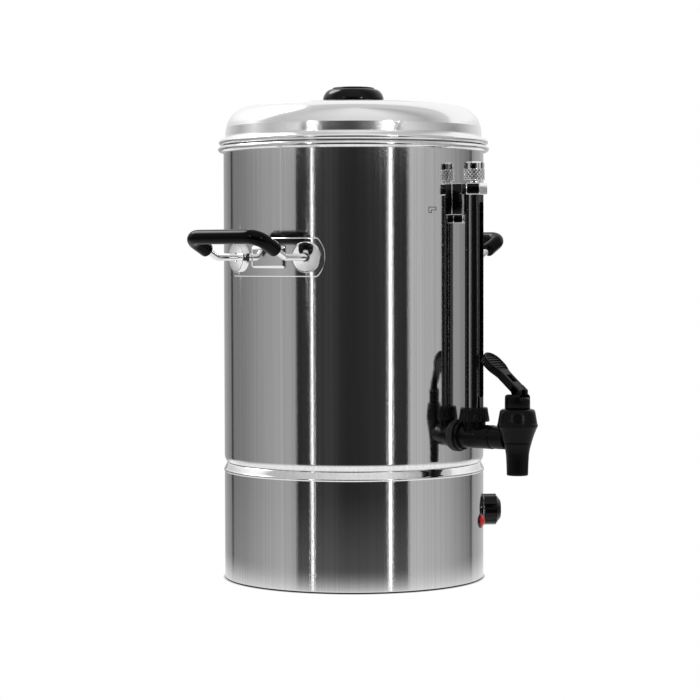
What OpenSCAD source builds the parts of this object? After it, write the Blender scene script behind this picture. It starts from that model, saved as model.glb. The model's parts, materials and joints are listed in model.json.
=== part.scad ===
// Hot water urn with a sight gauge and a lever tap.
// Millimetres, +Z up. The origin is on the body's axis, on the plane that the urn stands on.
// The tap and the gauge face -Y and the handles lie along X. Azimuths count from -Y towards +X.

/* [Body] */
// Outside diameter of the tank and of the base skirt
body_d = 230; // [200:1:280]
// Sheet thickness of the tank, base and lid
sheet = 1; // [0.8:0.1:1.4]
// Height of the seam between the base and the tank
seam_z = 103; // [96:1:120]
// Depth of the groove at the seam
seam_depth = 2.7; // [1.8:0.1:3.5]
// Height from the seam to the middle of the tank's rolled rim
tank_h = 276; // [270:1:330]
// Outside corner radius of the tank floor
tank_corner = 9.4; // [8:0.1:12]
// Radius of the tank's rolled rim
rim_bead = 2.9; // [2.2:0.1:3.4]
// Corner radius of the base skirt's shoulder
shoulder_r = 6.8; // [5:0.1:9]
// Height of the small bead below the shoulder
skirt_bead_h = 2.4; // [1.5:0.1:4]

/* [Foot and base plate] */
// Height of the rubber foot ring
foot_h = 2.2; // [1.5:0.1:5]
// Width of the rubber foot ring
foot_w = 8; // [5:0.5:12]
// Inset of the foot ring from the skirt's face
foot_inset = 1.3; // [1.2:0.1:3]
// Thickness of the base plate
plate_t = 1.2; // [0.8:0.1:2]
// Height of the base plate's raised middle
plate_rise = 7; // [6:0.5:12]
// Drop of the skirt's lower edge below the base plate
skirt_drop = 1; // [0.5:0.1:1.2]
// Height of the base plate's upturned rim inside the skirt
plate_lip = 9; // [6:0.5:14]
// Diameter of the tie rods between tank floor and base plate
tie_d = 5; // [4:0.5:6]
// Distance of the tie rods in from the base plate's step
tie_in = 13.2; // [9.2:0.1:25.2]
// Number of tie rods
tie_count = 3; // [3:1:4]

/* [Lid] */
// Height of the lid's flat middle above the rim's middle
lid_h = 41; // [36:0.5:50]
// Radius of the lid's rolled edge
lid_bead = 2.7; // [2:0.1:3.2]
// Radius of the dome's shoulder
lid_shoulder = 18; // [12:0.5:22]
// Radius of the dome's crown
lid_crown = 560; // [480:5:800]
// Radius of the flat land below the knob
lid_land = 29; // [28.5:0.5:34]
// Inset of the dome's foot from the body's face
lid_foot_inset = 1.8; // [1.4:0.1:3]
// Lean of the dome's wall between foot and shoulder
lid_lean = 1.7; // [1:0.1:3]
// Depth of the locating ring below the rim's middle
lid_ring_depth = 7; // [4:0.5:14]
// Diameter of the lid knob's foot
knob_d = 54; // [46:0.5:56]
// Diameter of the lid knob's top disc
knob_top_d = 37; // [28:0.5:42]
// Height of the lid knob without its top disc
knob_h = 12.2; // [10:0.1:18]
// Thickness of the lid knob's top disc
knob_cap_h = 1.8; // [1.2:0.1:3]

/* [Handles] */
// Height of the handle axis above the seam
handle_rise = 181; // [150:1:200]
// Distance between the two rods of a handle
rod_gap = 76.6; // [70:0.1:90]
// Diameter of the rods
rod_d = 6; // [5:0.1:7]
// Straight length of a rod outside the body
rod_run = 23; // [20:0.5:30]
// Reach of the grip's middle outside the body
grip_reach = 57; // [50:0.5:64]
// Upward bend of the rods
rod_bend = 23.8; // [18:0.1:32]
// Bend radius of the rods
rod_bend_r = 12; // [10:0.5:16]
// Corner radius of the grip's middle line
grip_corner = 11; // [9:0.5:16]
// Diameter of the grip
grip_d = 12.4; // [10.5:0.1:14]
// Length of rod that shows between its bend and the grip
rod_show = 13; // [8:0.5:16]
// Half length of the handle plate, measured straight across
plate_half = 53; // [52:0.5:60]
// Height of the handle plate
plate_h = 33; // [30:0.5:40]
// Radius of the handle plate's round ends
plate_end_r = 25; // [22:0.5:40]
// Thickness of the handle plate
handle_plate_t = 1.2; // [1:0.1:2]
// Width of the stamped panel on the handle plate
panel_w = 38; // [28:0.5:44]
// Height of the stamped panel on the handle plate
panel_h = 19; // [12:0.5:24]
// Height of the stamped panel above the plate
panel_t = 0.7; // [0.4:0.1:1.2]
// Diameter of the discs that cover the rod ends
disc_d = 26; // [22:0.5:28]
// Thickness of the discs
disc_t = 3; // [2.5:0.1:5]

/* [Gauge] */
// Distance of the gauge's axis from the body's face
gauge_off = 17; // [15:0.5:22]
// Outside diameter of the gauge's guard tube
guard_d = 16; // [15:0.1:18]
// Wall of the guard tube
guard_wall = 1.2; // [0.8:0.1:1.4]
// Width of the guard's slot
slot_w = 8.4; // [6:0.1:10]
// Height of the slot's lower end above the seam
slot_low = 61.2; // [58:0.1:80]
// Length of plain tube between the slot and the top fitting
slot_rest = 5.9; // [4:0.1:30]
// Outside diameter of the glass tube
glass_d = 11; // [9.5:0.1:11.4]
// Wall of the glass tube
glass_wall = 1.2; // [0.8:0.1:1.6]
// Depth of the gauge's top fitting below the rim
fitting_drop = 42.3; // [36:0.1:47]
// Width across the flats of the fitting's six-sided flange
fitting_af = 19.6; // [18:0.1:22]
// Thickness of the fitting's flange
fitting_h = 9.9; // [8:0.1:12]
// Height of the block behind the guard
block_h = 27; // [22:0.5:32]
// Width of the block behind the guard
block_w = 16.5; // [14:0.1:19]
// Height of the step below the block
step_h = 6.8; // [4:0.1:9]
// Diameter of the fitting's stud through the tank wall
stud_d = 8; // [6:0.5:9]
// Diameter of the threaded spigot that takes the cap
spigot_d = 12.4; // [11.8:0.1:13]
// Height of the threaded spigot
spigot_h = 10.4; // [9:0.1:13]
// Outside diameter of the knurled cap
cap_d = 18; // [17:0.1:20]
// Height of the cap's knurled band
cap_knurl_h = 10; // [8:0.1:12]
// Height of the cap's castellated band
cap_crown_h = 5.1; // [3:0.1:7]
// Height of the gap between the fitting and the cap
cap_gap = 2.2; // [1.2:0.1:3]
// Thickness of the cap's seal
cap_seal_t = 1.5; // [1:0.1:2]
// Diameter of the gauge's bottom nut at its foot
nut_low_d = 26.4; // [25:0.1:28]
// Diameter of the gauge's bottom nut at its top
nut_top_d = 22.8; // [21:0.1:24.5]
// Height of the gauge's bottom nut
nut_h = 12; // [11:0.1:15]

/* [Tap] */
// Height of the tap's arm above the seam
arm_rise = 28; // [25:0.5:40]
// Diameter of the tap's arm
arm_d = 20.4; // [19:0.1:23]
// Bore of the tap's arm
arm_bore = 11; // [8:0.1:12]
// Distance of the spout's axis from the body's face
spout_off = 62; // [61.5:0.5:70]
// Diameter of the tap's flange
flange_d = 24.6; // [23:0.1:24.8]
// Thickness of the tap's flange
flange_t = 4; // [3:0.1:6]
// Diameter of the tap's threaded shank
shank_d = 16; // [14:0.1:18]
// Length of the tap's shank inside the tank
shank_in = 14; // [12:0.5:18]
// Thickness of the tap's washers at their thickest
washer_t = 2.4; // [2:0.1:3.5]
// Height of the spout's mouth above the seam
mouth_rise = -3; // [-8:0.5:4]
// Diameter of the spout's mouth
mouth_d = 18; // [16:0.1:19]
// Bore of the spout
mouth_bore = 13; // [10:0.1:14]
// Largest diameter of the valve cup
cup_d = 34.4; // [32:0.1:38]
// Diameter at the top of the valve cup
cup_top_d = 29.6; // [28:0.1:32]
// Diameter of the valve chamber
chamber_d = 24; // [22:0.1:26]
// Diameter of the bonnet
bonnet_d = 21.4; // [20:0.1:24]
// Height of the bonnet above the cup
bonnet_h = 10; // [8:0.1:12]
// Height of the bonnet's two cheeks beside the lever
cheek_h = 2.6; // [1:0.1:3]
// Diameter of the valve stem
stem_d = 5; // [4:0.1:6]
// Wire of the valve spring
spring_wire = 1; // [0.8:0.1:1.2]
// Turns of the valve spring
spring_turns = 6; // [4:1:9]

/* [Lever] */
// Length of the lever from its pin to its tip
lever_len = 45.5; // [42:0.5:45.5]
// Rest angle of the lever above the horizontal, leaning to the body
lever_angle = 40; // [36:1:60]
// Width of the lever's bar
lever_w = 13; // [12:0.1:15]
// Thickness of the lever's bar
lever_t = 6.5; // [6:0.1:7]
// Width of the thumb paddle
paddle_w = 20; // [18:0.1:24]
// Length of the thumb paddle
paddle_len = 27; // [24:0.1:28]
// Number of ribs on the paddle
rib_count = 7; // [4:1:9]
// Radius of the lever's round heel
heel_r = 5; // [4.8:0.1:6]
// Offset of the heel's middle from the pin, which lifts the stem
heel_off = 3; // [2.5:0.1:3.2]
// Pull of the lever from closed to open
lever_pull = 60; // [50:1:66]
// Diameter of the lever's pin
pin_d = 2.6; // [2.2:0.1:2.8]

/* [Controls] */
// Height of the thermostat's axis
thermo_z = 58.4; // [50:0.1:70]
// Azimuth of the thermostat
thermo_az = 43; // [40:0.5:60]
// Width of the thermostat's case
case_w = 38; // [30:0.5:42]
// Height of the thermostat's case
case_h = 30; // [24:0.5:36]
// Diameter of the thermostat knob
dial_d = 27.6; // [25:0.1:30]
// Depth of the thermostat knob
dial_h = 15; // [13:0.1:18]
// Number of flutes around the knob
dial_flutes = 10; // [8:1:14]
// Diameter of the thermostat's shaft
shaft_d = 6; // [5:0.1:6.4]
// Height of the lamp's axis
lamp_z = 52.2; // [44:0.1:66]
// Azimuth of the lamp
lamp_az = 24; // [10:0.5:27]
// Diameter of the lamp's bezel
bezel_d = 12.8; // [12.6:0.1:14]
// Diameter of the lamp's red lens
lens_d = 10.2; // [9:0.1:10.6]
// Height of the cable gland's axis
gland_z = 32; // [26:0.5:60]
// Bore of the cable gland
gland_bore = 7.4; // [6:0.1:9]

/* [Heater] */
// Diameter of the heating tube
element_d = 8; // [6:0.1:9]
// Radius of the heating loop
element_r = 66; // [56:1:76]
// Height of the heating loop above the tank floor
element_rise = 22; // [19:0.5:30]

/* [Fits] */
// Clearance between fixed pieces that fit round one another
fit = 0.15; // [0.1:0.01:0.2]
// Radial running clearance of pins, shafts and threads
run = 0.08; // [0.05:0.01:0.1]
// Clearance between pieces that move past one another
gap = 0.4; // [0.3:0.05:0.5]

/* [Hidden] */
$fn = 64;
eps = 0.01;
through = 40;
// A bent tube swells a little at its bend, and its straight runs end inside the bend
bend_swell = 0.1;
bend_lap = 0.5;
body_r = body_d / 2;
inner_r = body_r - sheet;

// The tank's corner meets the seam's groove at seam_z
corner_turn = acos(1 - seam_depth / tank_corner);
corner_z = seam_z + tank_corner * sin(corner_turn);
floor_z = corner_z - tank_corner;
floor_top = floor_z + sheet;
rim_z = seam_z + tank_h;
rim_mid = inner_r + rim_bead;

// The skirt's shoulder stops just short of the tank's corner
skirt_low = foot_h - skirt_drop;
shoulder_turn = acos(1 - seam_depth / shoulder_r);
shoulder_z = seam_z - shoulder_r * sin(shoulder_turn);
skirt_bead_z = shoulder_z - skirt_bead_h;
skirt_bead_out = 0.5;

plate_mid_z = foot_h + plate_rise;
plate_step_r = body_r - foot_inset - foot_w - 2;
tie_r = plate_step_r - plate_rise - tie_in;
tie_nut_h = 4;

// Lid
lid_bead_z = rim_z + rim_bead + lid_bead + gap;
lid_bead_mid = rim_mid - 0.6;
lid_top = rim_z + lid_h;
lid_foot_r = body_r - lid_foot_inset;
lid_foot_z = lid_bead_z + 5.6;
lid_turn_low = 5;
lid_shoulder_r = lid_foot_r - lid_lean - lid_shoulder * cos(lid_turn_low);
lid_crown_z = lid_top - lid_crown;
lid_shoulder_z = lid_crown_z + sqrt(pow(lid_crown - lid_shoulder, 2) - pow(lid_shoulder_r - lid_land, 2));
lid_turn_high = atan2(lid_shoulder_z - lid_crown_z, lid_shoulder_r - lid_land);
lid_ring_r = lid_foot_r - sheet - fit;
lid_screw_d = 5;
knob_wall = 3;
knob_boss_d = 13;

// Handles
handle_z = seam_z + handle_rise;
plate_back = body_r + fit;
plate_face = plate_back + handle_plate_t;
bend_at = body_r + rod_run;
bend_tangent = rod_bend_r * tan(rod_bend / 2);
slope_len = (grip_reach - rod_run) / cos(rod_bend);
disc_turn = asin(rod_gap / 2 / plate_face);

// Gauge
gauge_r = body_r + gauge_off;
fitting_z = rim_z - fitting_drop;
fitting_top = fitting_z + fitting_h;
slot_len = fitting_z - slot_rest - seam_z - slot_low;
block_low = fitting_top - block_h;
stud_z = block_low + block_h / 2;
stud_in = 12;
stud_nut_h = 5;
cap_z = fitting_top + cap_gap;
cap_crown_z = cap_z + cap_knurl_h;
cap_top = cap_crown_z + cap_crown_h;
cap_dome = 1.2;
spigot_top = fitting_top + spigot_h;
cap_inner_top = spigot_top + gap + cap_seal_t + fit;
guard_bore = guard_d - 2 * guard_wall;

// Tap
arm_z = seam_z + arm_rise;
spout_r = body_r + spout_off;
flange_face = body_r + washer_t;
mouth_z = seam_z + mouth_rise;
cup_belt_z = arm_z + 8;
cup_wide_z = arm_z + 11.7;
cup_top_z = arm_z + 25;
cup_waist_z = arm_z - 9.6;
cup_waist_d = 20;
seat_z = arm_z - 4;
plug_d = 17;
plug_h = 4;
chamber_top = cup_top_z - plug_h - 1.5;
bonnet_top = cup_top_z + bonnet_h;
bonnet_wall = 3;
spring_room = 13;
neck_d = 18;
nut_z = arm_z + 12.7;
nut_top = nut_z + nut_h;
neck_top = nut_top - 4.5;
glass_low = neck_top - 8;
guard_low = nut_top - 2;
seal_h = 4;
backnut_h = 7;
// The tap screws into the gauge's tee between the gauge and the cup
tee_end = gauge_r + 20;
socket_d = arm_bore + 3;
socket_len = 8;
tap_bore = arm_bore - 2;
backnut_d = 26;

// The heel is an eccentric circle: as the lever turns it lifts the stem almost in step
heel_start = 90 - lever_pull / 2;
pin_z = bonnet_top + gap + heel_r - heel_off * cos(heel_start);
stem_lift = 2 * heel_off * cos(heel_start);
tongue_w = 4.6;
stem_flange_z = seat_z + 12;
stem_flange_h = 2;
stem_flange_d = 11;
spring_d = 8.6;
spring_low = stem_flange_z + stem_flange_h + fit;
spring_high = bonnet_top - bonnet_wall - fit;
spring_len = spring_high - spring_low - spring_wire;

// Controls
bush_d = 10;
bush_out = 6;
dial_gap = 0.8;
dial_foot = body_r + dial_gap;
thermo_nut_h = 3;
thermo_depth = 22;
boss_d = bush_d * 1.8;
boss_h = 9;
shaft_in = boss_h + thermo_depth * 0.66;
lamp_out = 2.4;
gland_out = 7;
gland_flange_d = 22;
gland_body_d = 15;
gland_nut_h = 5;

// Heater
element_z = floor_top + element_rise;
element_bend = 12;
leg_turn = 17;
leg_r = sqrt(pow(element_r, 2) + pow(element_bend, 2));
bend_turn = leg_turn + asin(element_bend / leg_r);
leg_nut_h = 5;
leg_seal_t = 1.5;
leg_nut_d = 16;
leg_out = 16;
cutout_d = 20;
cutout_h = 9;
cutout_az = 250;
cutout_r = 45;

// Points of an arc from one angle to another
function arc(mid, r, from, to, steps) =
    [for (i = [0:steps]) let (a = from + (to - from) * i / steps) [mid[0] + r * cos(a), mid[1] + r * sin(a)]];

// Turns children so that their Z points straight out of the body at an azimuth and a height
module outward(az, z, r = 0) {
    rotate([0, 0, az]) translate([0, -r, z]) rotate([90, 0, 0]) children();
}

// Hollow cylinder from one height to another
module tube(r_out, r_in, low, high) {
    translate([0, 0, low]) difference() {
        cylinder(r = r_out, h = high - low);
        translate([0, 0, -eps]) cylinder(r = r_in, h = high - low + 2 * eps);
    }
}

// The space inside the body's face, to cut pieces that seat on it from outside
module body_space(r) {
    translate([0, 0, -through]) cylinder(r = r, h = rim_z + 3 * through, $fn = 360);
}

// The space outside the tank's inner face, to cut pieces that seat on it from inside
module outside_space(r) {
    difference() {
        translate([0, 0, -through]) cylinder(r = body_r + through, h = rim_z + 2 * through, $fn = 128);
        translate([0, 0, -2 * through]) cylinder(r = r, h = rim_z + 4 * through, $fn = 360);
    }
}

// Six-sided nut with a round bore
module hex_nut(across, bore, h) {
    difference() {
        cylinder(d = across / cos(30), h = h, $fn = 6);
        translate([0, 0, -eps]) cylinder(d = bore, h = h + 2 * eps);
    }
}

// Outline of a block whose lower outer corner is round
module round_foot(r, low, high, corner) {
    difference() {
        translate([0, low]) square([r, high - low]);
        translate([r - corner, low]) difference() {
            translate([0, -eps]) square([corner + eps, corner + eps]);
            translate([0, corner]) circle(r = corner, $fn = 96);
        }
    }
}

module tank_wall() {
    color("silver") difference() {
        rotate_extrude($fn = 128) {
            translate([inner_r, corner_z]) square([sheet, rim_z - corner_z]);
            translate([rim_mid, rim_z]) circle(r = rim_bead);
        }
        outward(0, arm_z) cylinder(d = shank_d + 4 * fit, h = body_r + through);
        outward(0, stud_z) cylinder(d = stud_d + 4 * fit, h = body_r + through);
    }
}

module element_legs(d, low, high) {
    for (side = [-1, 1])
        rotate([0, 0, 180 + side * leg_turn]) translate([0, -leg_r, low]) cylinder(d = d, h = high - low);
}

module tank_floor() {
    color("silver") difference() {
        rotate_extrude($fn = 128) difference() {
            round_foot(body_r, floor_z, corner_z, tank_corner);
            round_foot(inner_r, floor_top, corner_z + 1, tank_corner - sheet);
        }
        element_legs(element_d + 4 * fit, floor_z - 1, floor_top + 1);
    }
}

module base_skirt() {
    shoulder = [body_r - shoulder_r, shoulder_z];
    turn = shoulder_turn - asin(gap / 2 / shoulder_r);
    color("silver") difference() {
        rotate_extrude($fn = 128) {
            polygon(concat(
                [[body_r, skirt_low]],
                arc(shoulder, shoulder_r, 0, turn, 10),
                arc(shoulder, shoulder_r - sheet, turn, 0, 10),
                [[inner_r, skirt_low]]
            ));
            intersection() {
                translate([body_r - sheet / 2, skirt_bead_z + skirt_bead_h / 2]) circle(d = skirt_bead_h);
                translate([body_r - sheet / 2, skirt_bead_z - 1])
                    square([sheet / 2 + skirt_bead_out, skirt_bead_h + 2]);
            }
        }
        outward(thermo_az, thermo_z) cylinder(d = bush_d + 4 * fit, h = body_r + through);
        outward(lamp_az, lamp_z) cylinder(d = lens_d + 0.8 + 4 * fit, h = body_r + through);
        outward(180, gland_z) cylinder(d = gland_body_d + 4 * fit, h = body_r + through);
    }
}

module base_plate() {
    edge_r = inner_r - fit;
    step = plate_step_r - plate_rise;
    color("dimgray") difference() {
        rotate_extrude($fn = 128) polygon([
            [0, plate_mid_z], [step, plate_mid_z], [plate_step_r, foot_h], [edge_r, foot_h],
            [edge_r, foot_h + plate_lip], [edge_r - plate_t, foot_h + plate_lip],
            [edge_r - plate_t, foot_h + plate_t], [plate_step_r + plate_t / 2, foot_h + plate_t],
            [step + plate_t / 2, plate_mid_z + plate_t], [0, plate_mid_z + plate_t]
        ]);
        tie_places() translate([0, 0, plate_mid_z - 1]) cylinder(d = tie_d + 2 * fit, h = plate_t + 2);
    }
}

module foot_ring() {
    edge_r = body_r - foot_inset;
    color("black") rotate_extrude($fn = 128)
        translate([edge_r - foot_w, 0]) square([foot_w, foot_h]);
}

module tie_places() {
    for (i = [0:tie_count - 1]) rotate([0, 0, i * 360 / tie_count]) translate([0, tie_r, 0]) children();
}

module tie_rods() {
    low = plate_mid_z - tie_nut_h - 1;
    color("silver") tie_places() translate([0, 0, low]) cylinder(d = tie_d, h = floor_z - fit - low);
}

module tie_nuts() {
    color("silver") tie_places() translate([0, 0, plate_mid_z - tie_nut_h])
        hex_nut(tie_d * 1.6, tie_d + 2 * run, tie_nut_h);
}

module lid_outline(inset) {
    polygon(concat(
        [[0, lid_bead_z - 1], [lid_foot_r - inset, lid_bead_z - 1], [lid_foot_r - inset, lid_foot_z]],
        arc([lid_shoulder_r, lid_shoulder_z], lid_shoulder - inset, lid_turn_low, lid_turn_high, 14),
        arc([lid_land, lid_crown_z], lid_crown - inset, lid_turn_high, 90, 10),
        [[0, lid_top - inset]]
    ));
}

module lid_dome() {
    hem_z = lid_bead_z + lid_bead - sheet;
    color("silver") difference() {
        rotate_extrude($fn = 128) {
            difference() {
                lid_outline(0);
                lid_outline(sheet);
                translate([0, lid_bead_z - 2]) square([body_r, hem_z - lid_bead_z + 2]);
            }
            polygon([
                [lid_foot_r - sheet, hem_z], [lid_bead_mid, hem_z], [lid_bead_mid, hem_z + sheet],
                [lid_foot_r + 0.9, hem_z + 1.5 * sheet], [lid_foot_r, lid_foot_z - 0.5],
                [lid_foot_r - sheet, lid_foot_z - 0.5]
            ]);
            translate([lid_bead_mid, lid_bead_z]) circle(r = lid_bead);
        }
        translate([0, 0, lid_top - sheet - 1]) cylinder(d = lid_screw_d + 4 * fit, h = sheet + 2);
    }
}

module lid_ring() {
    color("silver") tube(lid_ring_r, lid_ring_r - sheet, rim_z - lid_ring_depth, lid_foot_z);
}

module lid_knob() {
    top_r = knob_top_d / 2;
    foot_r = knob_d / 2;
    foot_edge = 2;
    rise = knob_h - foot_edge;
    color("black") translate([0, 0, lid_top]) difference() {
        rotate_extrude($fn = 96) polygon(concat(
            [[0, 0], [foot_r, 0]],
            [for (i = [0:10]) let (a = 90 * i / 10)
                [top_r + 0.6 + (foot_r - top_r - 0.6) * cos(a), foot_edge + rise * sin(a)]],
            [[0, knob_h]]
        ));
        rotate_extrude($fn = 96) polygon(concat(
            [[knob_boss_d / 2, -1], [foot_r - knob_wall, -1]],
            [for (i = [0:6]) let (a = 90 * i / 6)
                [top_r - knob_wall + (foot_r - top_r) * cos(a), (rise - knob_wall) * sin(a)]],
            [[knob_boss_d / 2, rise - knob_wall]]
        ));
        translate([0, 0, -1]) cylinder(d = lid_screw_d + 2 * run, h = knob_h - 1);
    }
}

module lid_knob_cap() {
    color("black") translate([0, 0, lid_top + knob_h]) rotate_extrude($fn = 96) polygon([
        [0, 0], [knob_top_d / 2, 0], [knob_top_d / 2, knob_cap_h * 0.55],
        [knob_top_d / 2 - 0.7, knob_cap_h * 0.85], [0, knob_cap_h]
    ]);
}

module lid_screw() {
    head_h = 3;
    color("silver") {
        translate([0, 0, lid_top - sheet - head_h]) cylinder(d = lid_screw_d * 2, h = head_h);
        translate([0, 0, lid_top - sheet - eps]) cylinder(d = lid_screw_d, h = knob_h - 2);
    }
}

// Places a handle: +X for the right one, -X for the left one
module handle_side(side) {
    rotate([0, 0, side == "right" ? 0 : 180]) translate([0, 0, handle_z]) children();
}

module handle_plate(side) {
    color("silver") handle_side(side) {
        intersection() {
            tube(plate_face, plate_back, -plate_h, plate_h, $fn = 360);
            rotate([90, 0, 90]) linear_extrude(height = 2 * body_r) intersection() {
                square([2 * plate_half, plate_h], center = true);
                translate([plate_half - plate_end_r, 0]) union() {
                    circle(r = plate_end_r, $fn = 96);
                    translate([-3 * plate_half, -plate_h]) square([3 * plate_half, 2 * plate_h]);
                }
                translate([plate_end_r - plate_half, 0]) union() {
                    circle(r = plate_end_r, $fn = 96);
                    translate([0, -plate_h]) square([3 * plate_half, 2 * plate_h]);
                }
            }
        }
        intersection() {
            tube(plate_face + panel_t, plate_face - eps, -plate_h, plate_h, $fn = 360);
            translate([0, -panel_w / 2, -panel_h / 2]) cube([2 * body_r, panel_w, panel_h]);
        }
    }
}

// Middle line of the sloping part of a rod, as a bar of one diameter from its start to the far side
module grip_bar(d, from) {
    half = rod_gap / 2;
    run_len = slope_len - grip_corner;
    translate([bend_at, 0, 0]) rotate([0, -rod_bend, 0]) {
        for (side = [0, 1]) mirror([0, side, 0]) {
            translate([from, half, 0]) rotate([0, 90, 0]) cylinder(d = d, h = run_len - from);
            translate([run_len, half - grip_corner, 0]) rotate_extrude(angle = 90)
                translate([grip_corner, 0]) circle(d = d);
        }
        translate([slope_len, half - grip_corner, 0]) rotate([90, 0, 0])
            cylinder(d = d, h = rod_gap - 2 * grip_corner);
    }
}

module handle_rod(side) {
    color("silver") handle_side(side) {
        grip_bar(rod_d, bend_tangent - bend_lap);
        for (turn = [0, 1]) mirror([0, turn, 0]) translate([0, rod_gap / 2, 0]) {
            translate([bend_at - bend_tangent, 0, rod_bend_r]) rotate([90, 90, 0])
                rotate_extrude(angle = rod_bend) translate([rod_bend_r, 0]) circle(d = rod_d + bend_swell);
            intersection() {
                rotate([0, 90, 0]) cylinder(d = rod_d, h = bend_at - bend_tangent + bend_lap);
                translate([0, -rod_gap / 2, 0]) outside_of_plate();
            }
        }
    }
}

// What lies outside the handle plate's face, where the rods are welded on
module outside_of_plate() {
    difference() {
        translate([0, 0, -through]) cylinder(r = body_r + through, h = 2 * through, $fn = 128);
        translate([0, 0, -2 * through]) cylinder(r = plate_face + fit, h = 4 * through, $fn = 360);
    }
}

module handle_grip(side) {
    color("black") handle_side(side) difference() {
        grip_bar(grip_d, rod_show);
        grip_bar(rod_d + 2 * fit, rod_show - 1);
    }
}

module handle_discs(side) {
    color("silver") handle_side(side) for (turn = [-1, 1]) difference() {
        rotate([0, 0, turn * disc_turn]) rotate([0, 90, 0]) {
            cylinder(d = disc_d, h = plate_face + disc_t - 1);
            translate([0, 0, plate_face + disc_t - 1 - eps]) cylinder(d1 = disc_d, d2 = disc_d - 2, h = 1);
        }
        translate([0, 0, -through]) cylinder(r = plate_face + fit, h = 2 * through, $fn = 360);
        translate([0, turn * rod_gap / 2, 0]) rotate([0, 90, 0]) cylinder(d = rod_d + 2 * fit, h = 2 * body_r);
    }
}

module handle_plate_left() { handle_plate("left"); }
module handle_plate_right() { handle_plate("right"); }
module handle_discs_left() { handle_discs("left"); }
module handle_discs_right() { handle_discs("right"); }
module handle_rod_left() { handle_rod("left"); }
module handle_rod_right() { handle_rod("right"); }
module handle_grip_left() { handle_grip("left"); }
module handle_grip_right() { handle_grip("right"); }

module at_gauge(z) {
    translate([0, -gauge_r, z]) children();
}

module gauge_fitting() {
    color("silver") difference() {
        union() {
            at_gauge(fitting_z) cylinder(d = fitting_af / cos(30), h = fitting_h, $fn = 6);
            at_gauge(fitting_top - eps) cylinder(d = spigot_d, h = spigot_h + eps);
            translate([-block_w / 2, -gauge_r, block_low]) cube([block_w, gauge_off + 2, block_h]);
            translate([-block_w / 2 + 2, -gauge_r, block_low - step_h])
                cube([block_w - 4, gauge_off + 2, step_h + eps]);
            outward(0, stud_z, body_r - stud_in) cylinder(d = stud_d, h = stud_in + 4);
        }
        difference() {
            body_space(body_r + fit);
            outward(0, stud_z, body_r - stud_in - 1) cylinder(d = stud_d, h = stud_in + 6);
        }
        at_gauge(block_low - through) cylinder(d = guard_d + 2 * fit, h = through + fitting_z - block_low);
        at_gauge(fitting_z - eps) cylinder(d = glass_d + 2 * fit, h = fitting_h * 0.65);
        at_gauge(fitting_z) cylinder(d = glass_d - 4 * glass_wall, h = through);
    }
}

module gauge_washer() {
    color("dimgray") difference() {
        outward(0, stud_z, inner_r - washer_t) cylinder(d = stud_d * 2.2, h = washer_t * 2);
        outside_space(inner_r - fit);
        outward(0, stud_z) cylinder(d = stud_d + 2 * fit, h = body_r + through);
    }
}

module gauge_stud_nut() {
    color("silver") outward(0, stud_z, inner_r - washer_t - stud_nut_h)
        hex_nut(stud_d * 1.6, stud_d + 2 * run, stud_nut_h);
}

module gauge_guard() {
    slot_z = seam_z + slot_low + slot_w / 2;
    color("silver") difference() {
        at_gauge(0) tube(guard_d / 2, guard_bore / 2, guard_low, fitting_z);
        translate([0, -gauge_r, 0]) rotate([90, 0, 0]) linear_extrude(height = guard_d) union() {
            translate([-slot_w / 2, slot_z]) square([slot_w, slot_len - slot_w]);
            translate([0, slot_z]) circle(d = slot_w);
            translate([0, slot_z + slot_len - slot_w]) circle(d = slot_w);
        }
    }
}

module gauge_glass() {
    color("azure", 0.4) at_gauge(0)
        tube(glass_d / 2, glass_d / 2 - glass_wall, glass_low, fitting_z + fitting_h * 0.65 - gap);
}

// Round band cut by a ring of round flutes
module fluted(d, h, count, flute_d, depth) {
    difference() {
        cylinder(d = d, h = h);
        for (i = [0:count - 1]) rotate([0, 0, i * 360 / count])
            translate([d / 2 + flute_d / 2 - depth, 0, -1]) cylinder(d = flute_d, h = h + 2, $fn = 24);
    }
}

module gauge_cap() {
    color("silver") at_gauge(0) difference() {
        union() {
            translate([0, 0, cap_z]) fluted(cap_d, cap_knurl_h, 36, 1, 0.35);
            translate([0, 0, cap_crown_z - eps]) fluted(cap_d - 0.6, cap_crown_h, 12, 2.4, 0.7);
            translate([0, 0, cap_top - 2 * eps]) cylinder(d1 = cap_d - 2.4, d2 = cap_d - 9, h = cap_dome);
        }
        translate([0, 0, cap_z - 1]) cylinder(d = spigot_d + 2 * run, h = cap_inner_top - cap_z + 1);
    }
}

module gauge_cap_seal() {
    color("dimgray") at_gauge(spigot_top + gap) cylinder(d = spigot_d - 2 * gap, h = cap_seal_t);
}

module gauge_nut() {
    color("black") at_gauge(0) difference() {
        translate([0, 0, nut_z]) cylinder(d1 = nut_low_d, d2 = nut_top_d, h = nut_h);
        translate([0, 0, nut_z - 1]) cylinder(d = neck_d + 2 * fit, h = neck_top - nut_z + 1 + fit);
        translate([0, 0, nut_z]) cylinder(d = glass_d + 2 * fit, h = nut_h);
        translate([0, 0, guard_low]) cylinder(d = guard_d + 2 * fit, h = nut_h);
    }
}

module gauge_seal() {
    color("dimgray") at_gauge(0) tube(glass_d / 2 + 2, glass_d / 2 + fit, neck_top - seal_h, neck_top);
}

module at_spout(z) {
    translate([0, -spout_r, z]) children();
}

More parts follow.
